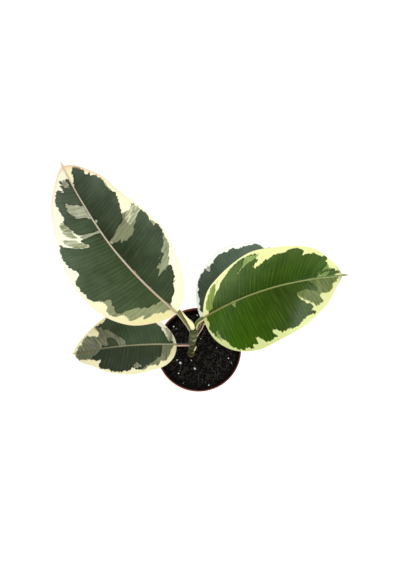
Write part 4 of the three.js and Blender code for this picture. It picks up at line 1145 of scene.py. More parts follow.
BACK_LEFT_PETIOLE = ("#6b6a38", "#a9a27c")
RIGHT_PETIOLE = ("#58702a", "#cdb98f")
LEFT_LOW_PETIOLE = ("#3c3020", "#e4b8a0", True)
BACK_LOW_PETIOLE = ("#5c3a24", "#d9bfa8")
LARGE = (270, 60)  # rows along a blade, and columns over half of it
YOUNG = (260, 60)
SMALL = (200, 50)


def leaf_piece(name, node, leaf, look, fineness, slot, petiole):
    """A leaf: its blade and its petiole in one mesh, which replaces the solid leaf."""
    cuticle = leaf_finish(name + "_cuticle", look)
    skin = petiole_finish(name + "_petiole_skin", *petiole)
    shells = [blade_shell(leaf, *fineness), petiole_shell(leaf)]
    return piece(name, shells, [cuticle, skin], [node])


for name, node, *made_of in [
    ("blade_back_left", "leaf_back_left", BACK_LEFT, BACK_LEFT_LOOK, LARGE, "dark_leaf", BACK_LEFT_PETIOLE),
    ("blade_right", "leaf_right", RIGHT, RIGHT_LOOK, YOUNG, "young_leaf", RIGHT_PETIOLE),
    ("blade_left_low", "leaf_left_low", LEFT_LOW, LEFT_LOW_LOOK, SMALL, "dark_leaf", LEFT_LOW_PETIOLE),
    ("blade_back_low", "leaf_back_low", BACK_LOW, BACK_LOW_LOOK, SMALL, "dark_leaf", BACK_LOW_PETIOLE),
]:
    leaf_piece(name, node, *made_of)

# %% [markdown]
# ## The stem
#
# The stem leans back a little. Each leaf leaves a ring round it where its bud sheath fell, and a pale
# oval scar where its petiole did. Low down the skin turns to thin brown bark. A tube whose radius is a sum
# of bell curves along its height gives all of that, and the same bell curves colour it.

# %% Stem
SOIL_TOP = 87.0
STEM_LINE = [[-10.6, -9.2, 56], [-9.8, -7.2, 78], [-8.4, -4.6, 120], [-6.6, -1.2, 160], [-5, 2, 191]]
STEM_RADII = (3.2, 4.3)
STEM_WIDENING = 2  # above 1, the stem widens mostly near its top
STEM_FOOT_SWELL = 0.6
STEM_FOOT_REACH = 9.0
NODE_HEIGHTS = (94, 112, 131, 150, 166, 182)
NODE_SWELL = 0.7
NODE_SPREAD = 2.2
RING_GROOVE = 0.25
GROOVE_SPREAD = 0.45
GROOVE_WAVE = 0.25  # a ring's groove runs up and down by this as it goes round
SCAR_HEIGHTS = (91, 109, 164)  # a scar's middle lies a little under its ring
SCAR_TURNS = (2.4, -0.9, -1.1)  # in radians round the stem
SCAR_SIZE = (0.6, 4.2)  # width in radians, height in mm
SCAR_RISE = 0.45
BARK_TOP = 92.0
BARK_FADE = 14.0
KNOB_RISE = 0.22
RIB_RISE = 0.05
CROWN = (0.025, 0.55)  # share of the length over which the top rounds off, and what is left of it
STEM_STEPS = 260
STEM_AROUND = 48
TURNS_GREEN = (150.0, 186.0)  # heights between which the olive skin turns to fresh green
RIND_ENDS = (102.0, 116.0)  # heights between which the brown bark ends
BORDER_WANDER = 24.0  # how far noise moves both borders
RIND_GRAIN = 3.85
PORE_SPACING = 2.38  # breathing pores, stretched three times along the stem


def stem_shell():
    """The stem's tube with its height, ring and scar stored at each point."""
    line = smooth_line(STEM_LINE, STEM_STEPS)
    u = np.linspace(0, 1, len(line))[:, None]
    z = line[:, 2:]
    turn = (2 * np.pi * np.arange(STEM_AROUND) / STEM_AROUND)[None, :]
    swell = sum(bell(z - node, NODE_SPREAD) for node in NODE_HEIGHTS)
    wave = [node + GROOVE_WAVE * np.sin(2 * turn + node) for node in NODE_HEIGHTS]
    groove = sum(bell(z - middle, GROOVE_SPREAD) for middle in wave)
    scar = sum(
        bell(wrapped(turn - at), SCAR_SIZE[0]) * bell(z - height, SCAR_SIZE[1])
        for height, at in zip(SCAR_HEIGHTS, SCAR_TURNS)
    )
    bark = bell(np.maximum(z - BARK_TOP, 0), BARK_FADE)
    knobs = KNOB_RISE * np.sin(5 * turn + z / 3.1) * np.sin(z / 2.3 + 2 * turn) * bark
    ribs = RIB_RISE * np.sin(9 * turn + np.sin(z / 9))
    crown = np.clip((1 - u) / CROWN[0], CROWN[1], 1)
    radius = mix(*STEM_RADII, u**STEM_WIDENING) + NODE_SWELL * swell
    radius = radius + STEM_FOOT_SWELL * bell(z - SOIL_TOP, STEM_FOOT_REACH)
    radius = (radius - RING_GROOVE * groove + SCAR_RISE * scar + knobs + ribs) * crown
    grid = tube(line, radius, STEM_AROUND, np.array([0.0, 1.0, 0.0]))
    return shell(grid, tall=z + 0 * turn, ring=swell + 0 * turn, scar=scar)


def stem_finish(tree):
    """Green skin above, olive in the middle and brown bark at the foot, with pale scars, a tan line at
    each ring and small pale breathing pores."""
    tall = add(tree, "Attribute", attribute_name="tall").node.outputs["Fac"]
    ring = add(tree, "Attribute", attribute_name="ring").node.outputs["Fac"]
    scar = add(tree, "Attribute", attribute_name="scar").node.outputs["Fac"]
    place = add(tree, "TexCoord").node.outputs["Object"]
    rind_grain = {"Scale": per_metre(RIND_GRAIN), "Detail": 4.0, "Roughness": 0.65}
    noise = add(tree, "TexNoise", {"Vector": place, **rind_grain})
    shifted = add(tree, "Math", {0: noise, 1: BORDER_WANDER, 2: tall}, operation="MULTIPLY_ADD")
    low, high = TURNS_GREEN
    green = add(tree, "MapRange", {"Value": shifted, "From Min": low, "From Max": high})
    low, high = RIND_ENDS
    bark = add(tree, "MapRange", {"Value": shifted, "From Min": high, "From Max": low})
    olive, fresh = linear("#202108"), linear("#3d431d")
    colour = add(tree, "Mix", {"Factor": green, "A": olive, "B": fresh}, data_type="RGBA")
    knobs = add(tree, "MapRange", {"Value": noise, "From Min": 0.5, "From Max": 0.62})
    furrow, ridge = linear("#322611"), linear("#8b7745")
    rind = add(tree, "Mix", {"Factor": knobs, "A": furrow, "B": ridge}, data_type="RGBA")
    colour = add(tree, "Mix", {"Factor": bark, "A": colour, "B": rind}, data_type="RGBA")
    stretched = add(tree, "Mapping", {"Vector": place, "Scale": (1.0, 1.0, 0.3)})
    cells = add(tree, "TexVoronoi", {"Vector": stretched, "Scale": per_metre(PORE_SPACING)})
    pores = add(tree, "MapRange", {"Value": cells, "From Min": 0.22, "From Max": 0.12, "To Max": 0.3})
    colour = add(tree, "Mix", {"Factor": pores, "A": colour, "B": linear("#a59a6e")}, data_type="RGBA")
    line = add(tree, "MapRange", {"Value": ring, "From Min": 0.6, "From Max": 0.98, "To Max": 0.4})
    colour = add(tree, "Mix", {"Factor": line, "A": colour, "B": linear("#a39a68")}, data_type="RGBA")
    mark = add(tree, "MapRange", {"Value": scar, "From Min": 0.35, "From Max": 0.7, "To Max": 0.85})
    colour = add(tree, "Mix", {"Factor": mark, "A": colour, "B": linear("#b5ac74")}, data_type="RGBA")
    normal = add(tree, "Bump", {"Height": noise, "Strength": 0.5, "Distance": 0.6 * MM})
    return {"Base Color": colour, "Roughness": 0.5, "Normal": normal, "Specular IOR Level": 0.15}


piece("plant_stem", [stem_shell()], [material("stem_skin", stem_finish)], ["stem"])

# %% [markdown]
# ## The buds
#
# The new leaf stands rolled up in a pointed sheath, cream because it grows from the plant's cream tissue.
# The sheath's free edge winds round it as a fine seam. A small side bud sits low on the stem.

# %% Buds
BUD_LINE = [[-5.8, 2.9, 187.5], [-8, 5.6, 201], [-10.7, 7.4, 211], [-13.8, 9.1, 221], [-17.3, 12.4, 231]]
BUD_RADIUS = 2.25
BUD_FOOT_SHARE = 0.85
BUD_BELLY_END = 0.6
BUD_TAPER_FROM = 0.2
SHOULDER = (0.44, 0.5)
SHOULDER_STEP = 0.3
BUD_POINT_RADIUS = 0.32
BUD_AROUND = 32
SIDE_BUD_LINE = [[-6.8, -6.4, 112.5], [-5, -5.4, 117], [-3, -3.4, 122.5]]
SIDE_BUD_RADIUS = 1.4
SIDE_BUD_SPAN = (0.3, 0.93)  # the stretch of half a sine wave that it follows
SIDE_BUD_BLUNT = 0.8  # below 1, the bud keeps its width for longer
BUD_STEPS = 90
SIDE_BUD_STEPS = 30
SEAM_TURNS = 0.8
SEAM_STEP = 0.06  # height of the sheath's free edge, as a share of the radius
SEAM_FADE = 3  # above 1, the step fades sooner on its way round
FLUTE_RISE = 0.02
SHEATH_GRAIN = 2.86


def bud_shell(line, radius):
    """A bud's tube. The seam is a step that fades over one turn, and its place winds round the bud."""
    u = np.linspace(0, 1, len(line))[:, None]
    turn = (2 * np.pi * np.arange(BUD_AROUND) / BUD_AROUND)[None, :]
    past_seam = (turn + 2 * np.pi * SEAM_TURNS * u) % (2 * np.pi) / (2 * np.pi)
    wrap = 1 + SEAM_STEP * (1 - past_seam) ** SEAM_FADE + FLUTE_RISE * np.cos(3 * turn)
    grid = tube(line, radius(u) * wrap, BUD_AROUND, np.array([0.0, 1.0, 0.0]))
    return shell(grid, along=u + 0 * turn, past_seam=past_seam)


def bud_radius(u):
    """Fullest low down, where half a sine wave lifts it, and then a long curved taper to the point. At
    the shoulder the outer sheath ends, and the inner one that comes out of it is thinner."""
    belly = mix(BUD_FOOT_SHARE, 1, np.sin(np.pi * np.clip(u / BUD_BELLY_END, 0, 1)))
    taper = np.clip((u - BUD_TAPER_FROM) / (1 - BUD_TAPER_FROM), 0, 1) ** 2
    step = 1 - SHOULDER_STEP * np.clip((u - SHOULDER[0]) / (SHOULDER[1] - SHOULDER[0]), 0, 1)
    return BUD_RADIUS * belly * (1 - taper) * step + BUD_POINT_RADIUS


def side_bud_radius(u):
    """A stretch of half a sine wave, a little blunted."""
    return SIDE_BUD_RADIUS * np.sin(np.pi * mix(*SIDE_BUD_SPAN, u)) ** SIDE_BUD_BLUNT


def bud_finish(tree):
    """Cream skin, a little greener at its foot and pink at its point, with fine spots and a
    darker seam."""
    along = add(tree, "Attribute", attribute_name="along").node.outputs["Fac"]
    past_seam = add(tree, "Attribute", attribute_name="past_seam").node.outputs["Fac"]
    place = add(tree, "TexCoord").node.outputs["Object"]
    noise = add(tree, "TexNoise", {"Vector": place, "Scale": per_metre(SHEATH_GRAIN), "Detail": 3.0})
    foot = add(tree, "MapRange", {"Value": along, "From Min": 0.22, "From Max": 0.0, "To Max": 0.7})
    point = add(tree, "MapRange", {"Value": along, "From Min": 0.7, "From Max": 1.0, "To Max": 0.5})
    cream, green = linear("#e8deaa"), linear("#a8ac62")
    colour = add(tree, "Mix", {"Factor": foot, "A": cream, "B": green}, data_type="RGBA")
    colour = add(tree, "Mix", {"Factor": point, "A": colour, "B": linear("#d3a98c")}, data_type="RGBA")
    seam = add(tree, "MapRange", {"Value": past_seam, "From Min": 0.94, "From Max": 1.0, "To Max": 0.6})
    colour = add(tree, "Mix", {"Factor": seam, "A": colour, "B": linear("#9a8a56")}, data_type="RGBA")
    spots = add(tree, "MapRange", {"Value": noise, "From Min": 0.5, "From Max": 0.8, "To Max": 0.3})
    colour = add(tree, "Mix", {"Factor": spots, "A": colour, "B": linear("#b5ad70")}, data_type="RGBA")
    normal = add(tree, "Bump", {"Height": noise, "Strength": 0.25, "Distance": 0.4 * MM})
    return {"Base Color": colour, "Roughness": 0.4, "Normal": normal, "Specular IOR Level": 0.4}


sheath = material("bud_sheath_skin", bud_finish)
rolled_leaf = bud_shell(smooth_line(BUD_LINE, BUD_STEPS), bud_radius)
side_bud = bud_shell(smooth_line(SIDE_BUD_LINE, SIDE_BUD_STEPS), side_bud_radius)
piece("new_leaf_sheath", [rolled_leaf], [sheath], ["terminal_bud"])
piece("low_bud", [side_bud], [sheath], ["side_bud"])

# %% [markdown]
# ## The pot
#
# A grower's pot is injection-moulded polypropylene, thin-walled and tapered so that pots nest. Its profile
# is turned about the upright axis, and every corner of the profile is rounded a little, because moulded
# corners are, and because a rounded edge catches light. The drain holes are cut with a Boolean.

# %% Pot
POT_RADIUS = 52.5
POT_HEIGHT = 90.0
BASE_RADIUS = 37.5
WALL = 1.2
COLLAR_FOOT = 78.0
COLLAR_STEP = 1.6
COLLAR_DRAFT = 0.8  # share of the collar's step that its foot already stands out
FLARE_FOOT = COLLAR_FOOT - COLLAR_STEP
LIP = 0.6
LIP_TURN = 20  # degrees between two points over the lip
FOOT_CHAMFER = 0.9
MIDDLE = 1.0  # radius of the profile's ends, which the shell closes
FLOOR_TOP = 4.4
CHANNEL = (14.0, 31.0, 2.2)  # inner radius, outer radius and rise of the drained ring
DRAIN_HOLES = 8
DRAIN_RADIUS = 3.2
DRILL = (-3.0, 9.0)  # heights of its ends, clear of the floor on both sides
DRILL_AROUND = 32
SHARP_ANGLE = 35.0
POT_AROUND = 160
MOULD_GRAIN = 1.11  # the mould's grain, drawn coarser than it is so that it shows
FADING = 22.2  # size of the clouds where the brown is paler
EDGE_NOISE_SIZE = 2.38  # size of the noise that makes the dark edge ragged
EDGE_NOISE_REACH = 9.0  # how far the ragged edge moves up and down the wall
DARKENING_EDGE = (6.5, 7.6)
CORNER = 0.35
LARGEST_CORNER = 0.4  # share of the shorter side that a rounded corner may take


def outer_radius(z):
    """Radius of the wall's outside, which widens evenly from the base to the collar's back."""
    return BASE_RADIUS + (POT_RADIUS - COLLAR_STEP - BASE_RADIUS) * z / POT_HEIGHT


def inner_radius(z):
    """Radius of the wall's inside, which widens faster from the collar's foot to the lip."""
    rise = np.clip((z - FLARE_FOOT) / (POT_HEIGHT - LIP - FLARE_FOOT), 0, None)
    wide = mix(outer_radius(FLARE_FOOT) - WALL, POT_RADIUS - 2 * LIP, rise)
    return np.where(z < FLARE_FOOT, outer_radius(z) - WALL, wide)


def rounded(profile, radius):
    """A profile with each inner corner replaced by three points: one before it, one on the curve that cuts
    it off, at a quarter of both neighbours and half of the corner, and one after it."""
    profile = np.array(profile, float)
    corner, before, after = profile[1:-1], profile[:-2], profile[2:]

    def toward(end):
        way = end - corner
        length = np.linalg.norm(way, axis=1, keepdims=True)
        return corner + way / length * np.minimum(radius, LARGEST_CORNER * length)

    start, end = toward(before), toward(after)
    trio = np.stack([start, (start + 2 * corner + end) / 4, end], 1).reshape(-1, 2)
    return np.vstack([profile[:1], trio, profile[-1:]])


def turned(profile, around):
    """A profile of radius and height turned about +Z."""
    turn = 2 * np.pi * np.arange(around) / around
    radius, z = profile[:, :1], profile[:, 1:]
    return np.stack([radius * np.cos(turn), radius * np.sin(turn), z + 0 * turn], -1)


def pot_profile():
    """From the underside's middle out, up the outside, over the lip, down the inside and over the floor."""
    lip_turn = np.radians(np.arange(0, 181, LIP_TURN))
    out, up = np.cos(lip_turn), np.sin(lip_turn)
    lip = np.stack([POT_RADIUS - LIP + LIP * out, POT_HEIGHT - LIP + LIP * up], -1)
    inner, outer, rise = CHANNEL
    outside = [
        [MIDDLE, 0], [inner, 0], [inner, rise], [outer, rise], [outer, 0],
        [BASE_RADIUS - FOOT_CHAMFER, 0],
        [BASE_RADIUS, FOOT_CHAMFER],
        [outer_radius(FLARE_FOOT), FLARE_FOOT],
        [outer_radius(COLLAR_FOOT) + COLLAR_DRAFT * COLLAR_STEP, COLLAR_FOOT],
    ]
    inside = [[inner_radius(z), z] for z in (FLARE_FOOT, FLOOR_TOP)] + [[MIDDLE, FLOOR_TOP]]
    return rounded(outside + lip.tolist() + inside, CORNER)


def pot_shell():
    """The pot's shell, with how far each point lies inside the middle of the lip, in mm."""
    profile = pot_profile()
    grid = turned(profile, POT_AROUND)
    order = np.arange(len(profile))[:, None]
    over_lip = profile[:, 1].argmax()
    inward = np.where(order > over_lip, POT_HEIGHT - grid[..., 2], 0)
    return shell(grid, inward=inward)


def pot_finish(tree):
    """Polypropylene, terracotta brown and matt from a spark-eroded mould, IOR 1.49. Fine grain dulls it.
    The inside is nearly black from a ragged edge just under the lip downwards, with dark specks above it."""
    place = add(tree, "TexCoord").node.outputs["Object"]
    inward = add(tree, "Attribute", attribute_name="inward").node.outputs["Fac"]
    fine = add(tree, "TexNoise", {"Vector": place, "Scale": per_metre(MOULD_GRAIN), "Detail": 2.0})
    faded = {"Scale": per_metre(FADING), "Detail": 5.0, "Roughness": 0.65}
    cloud = add(tree, "TexNoise", {"Vector": place, **faded})
    lumpy = {"Scale": per_metre(EDGE_NOISE_SIZE), "Detail": 4.0, "Roughness": 0.7}
    edge_noise = add(tree, "TexNoise", {"Vector": place, **lumpy})
    ragged = add(tree, "Math", {0: edge_noise, 1: EDGE_NOISE_REACH, 2: inward}, operation="MULTIPLY_ADD")
    starts_dark, fully_dark = DARKENING_EDGE
    darkening = add(tree, "MapRange", {"Value": ragged, "From Min": starts_dark, "From Max": fully_dark})
    dark, light = linear("#66301f"), linear("#7c402c")
    colour = add(tree, "Mix", {"Factor": cloud, "A": dark, "B": light}, data_type="RGBA")
    # below the ragged edge the inside of the wall turns nearly black
    colour = add(tree, "Mix", {"Factor": darkening, "A": colour, "B": linear("#140e0a")}, data_type="RGBA")
    normal = add(tree, "Bump", {"Height": fine, "Strength": 0.25, "Distance": 0.2 * MM})
    roughness = add(tree, "Math", {0: cloud, 1: 0.25, 2: 0.42}, operation="MULTIPLY_ADD")
    return {
        "Base Color": colour, "Roughness": roughness, "Normal": normal,
        "IOR": 1.49, "Specular IOR Level": 0.2,
    }


def cut_drain_holes(pot):
    """Takes eight drills out of the pot's floor and keeps the result as the pot's own mesh."""
    middle = (CHANNEL[0] + CHANNEL[1]) / 2
    turns = 2 * np.pi * np.arange(DRAIN_HOLES) / DRAIN_HOLES
    drill = turned(np.array([[DRAIN_RADIUS, end] for end in DRILL]), DRILL_AROUND)
    drills = [shell(drill + middle * np.array([np.cos(turn), np.sin(turn), 0])) for turn in turns]
    cutter = piece("drills", drills, [])
    boolean = pot.modifiers.new("drain holes", "BOOLEAN")
    boolean.operation = "DIFFERENCE"
    boolean.solver = "EXACT"
    boolean.object = cutter
    result = pot.evaluated_get(bpy.context.evaluated_depsgraph_get())
    drilled = bpy.data.meshes.new_from_object(result)
    pot.modifiers.clear()
    pot.data = drilled
    drilled.set_sharp_from_angle(angle=np.radians(SHARP_ANGLE))
    bpy.data.objects.remove(cutter)


plastic = material("moulded_polypropylene", pot_finish)
pot = piece("nursery_pot", [pot_shell()], [plastic], ["pot"])
cut_drain_holes(pot)
print("pot after drilling:", len(pot.data.polygons), "faces")

# %% [markdown]
# ## The soil
#
# Peat-based potting mix is nearly black when moist, and crumbly at every scale. The surface is a polar
# grid whose height adds broad lumps, as on the solid soil, to round crumbs of two sizes: each crumb is a
# dome round a jittered point of a square lattice.

# %% Soil surface
SOIL_BOTTOM = 4.7
SOIL_RELIEF = 1.5
SOIL_LUMPS = ((0.6, 9.0, 40), (0.4, 3.9, 90))  # share of the relief, width and place in the noise
SOIL_CALM = (4.0, 0.35)  # how near the wall the relief gets calmer, and what is left of it
SOIL_FALL = 1.2  # how much lower the soil lies all round the wall
SOIL_GAP = 0.3
SETTLED = 4.0  # how much lower still it lies at the wall's far side
SETTLED_REACH = 9.0
SETTLED_FROM = 0.6  # how far towards the viewer that goes on, as a share of the radius
SOIL_AROUND = 330
SOIL_RINGS = 125
CRUMB_SIZES = ((3.4, 1.1), (1.7, 0.7))  # spacing and height of the domes
CRUMB_CALM = (2.0, 0.3)  # the same as SOIL_CALM, for the domes
DOME_SIZE = (0.35, 0.75)  # radius of the smallest and the largest dome, as a share of the spacing
DOME_RISE = (0.4, 1.0)
PEAT_GRAIN = 2.0
FIBROUS_PATCHES = 7.7
SPECKS_APART = 2.08
SOIL_MIDDLE = 0.3  # radius of the innermost ring


def dice(number):
    """A repeatable random number from 0 to 1 for each whole number: the fraction of a large sine."""
    value = np.sin(number * 127.1 + 311.7) * 43758.5453
    return value - np.floor(value)


def bumps(x, y):
    """Smooth random bumps one unit wide: random heights at lattice corners, eased between them."""
    column, row = np.floor(x), np.floor(y)
    ease_x, ease_y = [share * share * (3 - 2 * share) for share in (x - column, y - row)]
    corner = [[dice((column + i) * 57 + (row + j) * 131) for i in (0, 1)] for j in (0, 1)]
    return mix(mix(corner[0][0], corner[0][1], ease_x), mix(corner[1][0], corner[1][1], ease_x), ease_y)


def soil_height(x, y):
    """Height of the solid soil: lumps of two sizes, calmer at the wall, where it also lies lower. It has
    settled most along the far side."""
    radius = np.hypot(x, y)
    edge = inner_radius(SOIL_TOP)
    relief = sum(share * bumps(x / width + at, y / width + at) for share, width, at in SOIL_LUMPS)
    calm = np.clip((edge - radius) / SOIL_CALM[0], SOIL_CALM[1], 1)
    behind = np.clip(SETTLED_FROM + y / edge, 0, 1)
    settled = SETTLED * behind * np.clip(1 - (edge - radius) / SETTLED_REACH, 0, 1) ** 2
    lumps = 2 * SOIL_RELIEF * (relief - 0.5) * calm
    return SOIL_TOP + lumps - SOIL_FALL * (radius / edge) ** 4 - settled


def crumbs(x, y, spacing):
    """Domes round jittered lattice points: the square root of one minus the squared distance over the
    dome's own radius, the highest of those around each place."""
    column, row = np.floor(x / spacing), np.floor(y / spacing)
    best = np.zeros_like(x)
    for i in (-1, 0, 1):
        for j in (-1, 0, 1):
            number = (column + i) * 73 + (row + j) * 151
            middle_x = (column + i + dice(number)) * spacing
            middle_y = (row + j + dice(number + 7)) * spacing
            size = spacing * mix(*DOME_SIZE, dice(number + 19))
            distance = np.hypot(x - middle_x, y - middle_y) / size
            dome = np.sqrt(np.clip(1 - distance**2, 0, 1)) * mix(*DOME_RISE, dice(number + 31))
            best = np.maximum(best, dome)
    return best


def soil_shell():
    """Rings from the soil's underside out, up the wall and in again over the crumbly surface."""
    edge = inner_radius(SOIL_TOP - 2 * SOIL_RELIEF) - SOIL_GAP
    radii = np.minimum(edge * (1 - np.linspace(0, 1, SOIL_RINGS)) + SOIL_MIDDLE, edge)
    low = [[MIDDLE, SOIL_BOTTOM]] + [[inner_radius(z) - SOIL_GAP, z] for z in (SOIL_BOTTOM, FLARE_FOOT)]
    surface = np.stack([radii, np.full(SOIL_RINGS, SOIL_TOP)], -1)
    grid = turned(np.vstack([low, surface]), SOIL_AROUND)
    top = grid[len(low):]
    x, y = top[..., 0], top[..., 1]
    relief = sum(height * (crumbs(x, y, spacing) - 0.5) for spacing, height in CRUMB_SIZES)
    calm = np.clip((edge - np.hypot(x, y)) / CRUMB_CALM[0], CRUMB_CALM[1], 1)
    top[..., 2] = soil_height(x, y) + relief * calm
    crumb = np.zeros(grid.shape[:2])
    crumb[len(low):] = relief
    return shell(grid, crumb=crumb)


def soil_finish(tree):
    """Moist peat, almost black, with a little brown fibre and fine grey specks; it reflects hardly any
    light. The crumbs' tops are painted a little lighter, as where light falls on them."""
    place = add(tree, "TexCoord").node.outputs["Object"]
    crumb = add(tree, "Attribute", attribute_name="crumb").node.outputs["Fac"]
    peaty = {"Scale": per_metre(PEAT_GRAIN), "Detail": 5.0, "Roughness": 0.7}
    noise = add(tree, "TexNoise", {"Vector": place, **peaty})
    patches = add(tree, "TexNoise", {"Vector": place, "Scale": per_metre(FIBROUS_PATCHES), "Detail": 3.0})
    brown = add(tree, "MapRange", {"Value": patches, "From Min": 0.55, "From Max": 0.8, "To Max": 0.6})
    black, fibrous = linear("#0f0c0a"), linear("#241812")
    colour = add(tree, "Mix", {"Factor": brown, "A": black, "B": fibrous}, data_type="RGBA")
    specks = add(tree, "TexVoronoi", {"Vector": place, "Scale": per_metre(SPECKS_APART)})
    light = add(tree, "MapRange", {"Value": specks, "From Min": 0.2, "From Max": 0.08, "To Max": 0.6})
    colour = add(tree, "Mix", {"Factor": light, "A": colour, "B": linear("#8a857c")}, data_type="RGBA")
    # painted light: the raised crumbs are painted lighter on top, as where light falls on them
    high = add(tree, "MapRange", {"Value": crumb, "From Min": -0.6, "From Max": 0.7, "To Max": 0.3})
    colour = add(tree, "Mix", {"Factor": high, "A": colour, "B": linear("#24211e")}, data_type="RGBA")
    normal = add(tree, "Bump", {"Height": noise, "Strength": 0.9, "Distance": 1.2 * MM})
    return {"Base Color": colour, "Roughness": 0.85, "Normal": normal, "Specular IOR Level": 0.08}


peat = material("moist_peat", soil_finish)
piece("potting_soil", [soil_shell()], [peat], ["soil"])

# %% [markdown]
# ## What lies on the soil
#
# Perlite is a volcanic glass puffed up by heat, so its grains are white, light and rough. The chips are
# composted bark, flat and dark, and thin dry roots of the old peat cross them. The larger white grains
# have their own places and the rest is scattered. A scattered grain is a rough ball of a few dozen faces,
# because there are hundreds of them, and a fibre is a thin tube along an arc.

# %% Grains, chips and fibres
PERLITE = [
    (-22.7, -17.2, 3.6), (-26.7, -13.6, 2.0), (-4.8, -24.4, 3.1), (-9.1, -14.3, 1.5), (16.6, -23.2, 2.1),
    (36.8, -11.4, 1.8), (40.2, -17.3, 1.5), (-24.9, -30.1, 2.0), (12.3, -44.2, 2.0), (-19, -41.5, 1.4),
    (2.3, 13, 1.6), (-31.7, 28.6, 2.0), (22.8, -3.8, 1.3), (-12, 30.2, 1.6), (-2.3, 43.3, 1.8),
]
SMALL_PERLITE = 14
BARK_BITS = 60
LOOSE_CRUMBS = 420
FIBRES = 34
FIBRE_STEPS = 14
FIBRE_AROUND = 6
FIBRE_REACH = 44.0  # no fibre runs further out than this from the pot's middle
FIBRE_LENGTH = (6, 17)
FIBRE_RADIUS = (0.16, 0.32)
FIBRE_BEND = 2.5  # radians by which its heading turns at most, either way
FIBRE_LIFT = (0.7, 0.8)  # how far its ends lie over the soil, and how much higher its middle may be
FIBRE_THINS = (1.2, 0.2)  # its radius at either end, as a share
STEM_FOOT = (-9.8, -7.2)
STEM_CLEARING = 6.5
LARGEST_TILT = 0.9  # radians between a lump's steepest tilts
SEED = 11
rng = np.random.default_rng(SEED)


def scattered(count, reach):
    """Random places on the soil within reach of its middle, evenly by area, and clear of the stem."""
    places = []
    while len(places) < count:
        radius, turn = reach * np.sqrt(rng.random()), 2 * np.pi * rng.random()
        place = np.array([radius * np.cos(turn), radius * np.sin(turn)])
        if np.hypot(*(place - STEM_FOOT)) > STEM_CLEARING:
            places.append(place)
    return np.array(places)


def lump(x, y, size, stretch, rings, around, rough, sink):
    """A rough ball: a sphere whose radius varies at random from point to point, stretched, turned about
    two axes and set into the soil by a share of its size, or over it where the share is negative."""
    polar = np.linspace(0, np.pi, rings + 2)[1:-1, None]
    turn = 2 * np.pi * np.arange(around)[None, :] / around
    out, up = np.sin(polar), np.cos(polar)
    ball = np.stack([out * np.cos(turn), out * np.sin(turn), up + 0 * turn], -1)
    ball = ball * (1 + rough * (rng.random((rings, around, 1)) - 0.5)) * size / 2 * np.array(stretch)
    yaw = 2 * np.pi * rng.random()
    tilt = LARGEST_TILT * (rng.random() - 0.5)
    tilted = np.array([[np.cos(tilt), 0, np.sin(tilt)], [0, 1, 0], [-np.sin(tilt), 0, np.cos(tilt)]])
    yawed = np.array([[np.cos(yaw), -np.sin(yaw), 0], [np.sin(yaw), np.cos(yaw), 0], [0, 0, 1]])
    return shell(ball @ tilted.T @ yawed.T + [x, y, soil_height(x, y) - sink * size])


def fibre(x, y):
    """A thin root fibre that arcs over the soil: its heading turns evenly along its length."""
    length = mix(*FIBRE_LENGTH, rng.random())
    radius = mix(*FIBRE_RADIUS, rng.random())
    u = np.linspace(0, 1, FIBRE_STEPS)
    heading = 2 * np.pi * rng.random() + mix(-FIBRE_BEND, FIBRE_BEND, rng.random()) * u
    steps = np.stack([np.cos(heading), np.sin(heading)], -1) * length / len(u)
    line = np.array([x, y]) + np.cumsum(steps, 0)
    line = line * np.minimum(1, FIBRE_REACH / np.linalg.norm(line, axis=1, keepdims=True))
    lift = FIBRE_LIFT[0] + FIBRE_LIFT[1] * np.sin(np.pi * u) * rng.random()
    z = soil_height(line[:, 0], line[:, 1]) + lift
    thinning = radius * mix(*FIBRE_THINS, u[:, None])
    return shell(tube(np.column_stack([line, z]), thinning, FIBRE_AROUND, np.array([0.0, 0.0, 1.0])))


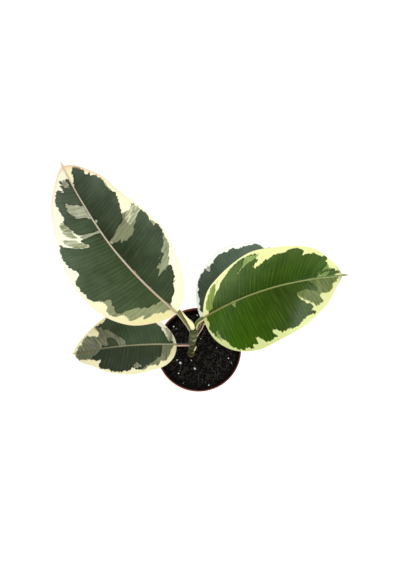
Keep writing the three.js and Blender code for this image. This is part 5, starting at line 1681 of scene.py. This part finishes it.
def speckled(dark, light, grit, rough):
    """A rough mineral or bark finish: two colours mixed by noise as large as the grit, which also gives
    the bump."""

    def sockets(tree):
        place = add(tree, "TexCoord").node.outputs["Object"]
        gritty = {"Scale": per_metre(grit), "Detail": 4.0, "Roughness": 0.6}
        noise = add(tree, "TexNoise", {"Vector": place, **gritty})
        share = add(tree, "MapRange", {"Value": noise, "From Min": 0.35, "From Max": 0.65})
        low, high = linear(dark), linear(light)
        colour = add(tree, "Mix", {"Factor": share, "A": low, "B": high}, data_type="RGBA")
        normal = add(tree, "Bump", {"Height": noise, "Strength": 0.6, "Distance": 0.6 * MM})
        return {"Base Color": colour, "Roughness": rough, "Normal": normal, "Specular IOR Level": 0.2}

    return sockets


LARGE_GRAIN = ((1, 0.85, 0.75), 9, 14, 0.35, 0.05)  # stretch, rings, points round, roughness, sink
SMALL_GRAIN = ((1, 0.9, 0.8), 5, 8, 0.4, -0.25)
CHIP = ((1, 0.4, 0.24), 5, 9, 0.5, -0.04)
CRUMB = ((1, 0.85, 0.75), 4, 7, 0.55, -0.12)


def strewn(count, reach, sizes, power, form):
    """Lumps at scattered places. A size lies between two, by a random share to a power: a power above 1
    makes most of them small."""
    return [
        lump(x, y, mix(*sizes, rng.random() ** power), *form)
        for x, y in scattered(count, reach)
    ]


grains = [lump(x, y, size, *LARGE_GRAIN) for x, y, size in PERLITE]
grains += strewn(SMALL_PERLITE, 43, (0.6, 1.2), 2, SMALL_GRAIN)
white = material("expanded_perlite", speckled("#d8d5cd", "#ffffff", 0.667, 0.8))
piece("perlite", grains, [white])

chips = strewn(BARK_BITS, 42, (3.5, 8.5), 1, CHIP)
bark = material("composted_bark", speckled("#120e0b", "#2c221b", 1.11, 0.75))
piece("bark_chips", chips, [bark])

bits = strewn(LOOSE_CRUMBS, 45.5, (1.2, 3.2), 1.5, CRUMB)
crumbly = material("peat_crumb", speckled("#0e0b09", "#2e2b28", 1.43, 0.8))
piece("soil_crumbs", bits, [crumbly])

strands = [fibre(x, y) for x, y in scattered(FIBRES, 40)]
dry = material("dry_root_fibre", speckled("#262320", "#5d5a54", 0.833, 0.7))
piece("root_fibres", strands, [dry])
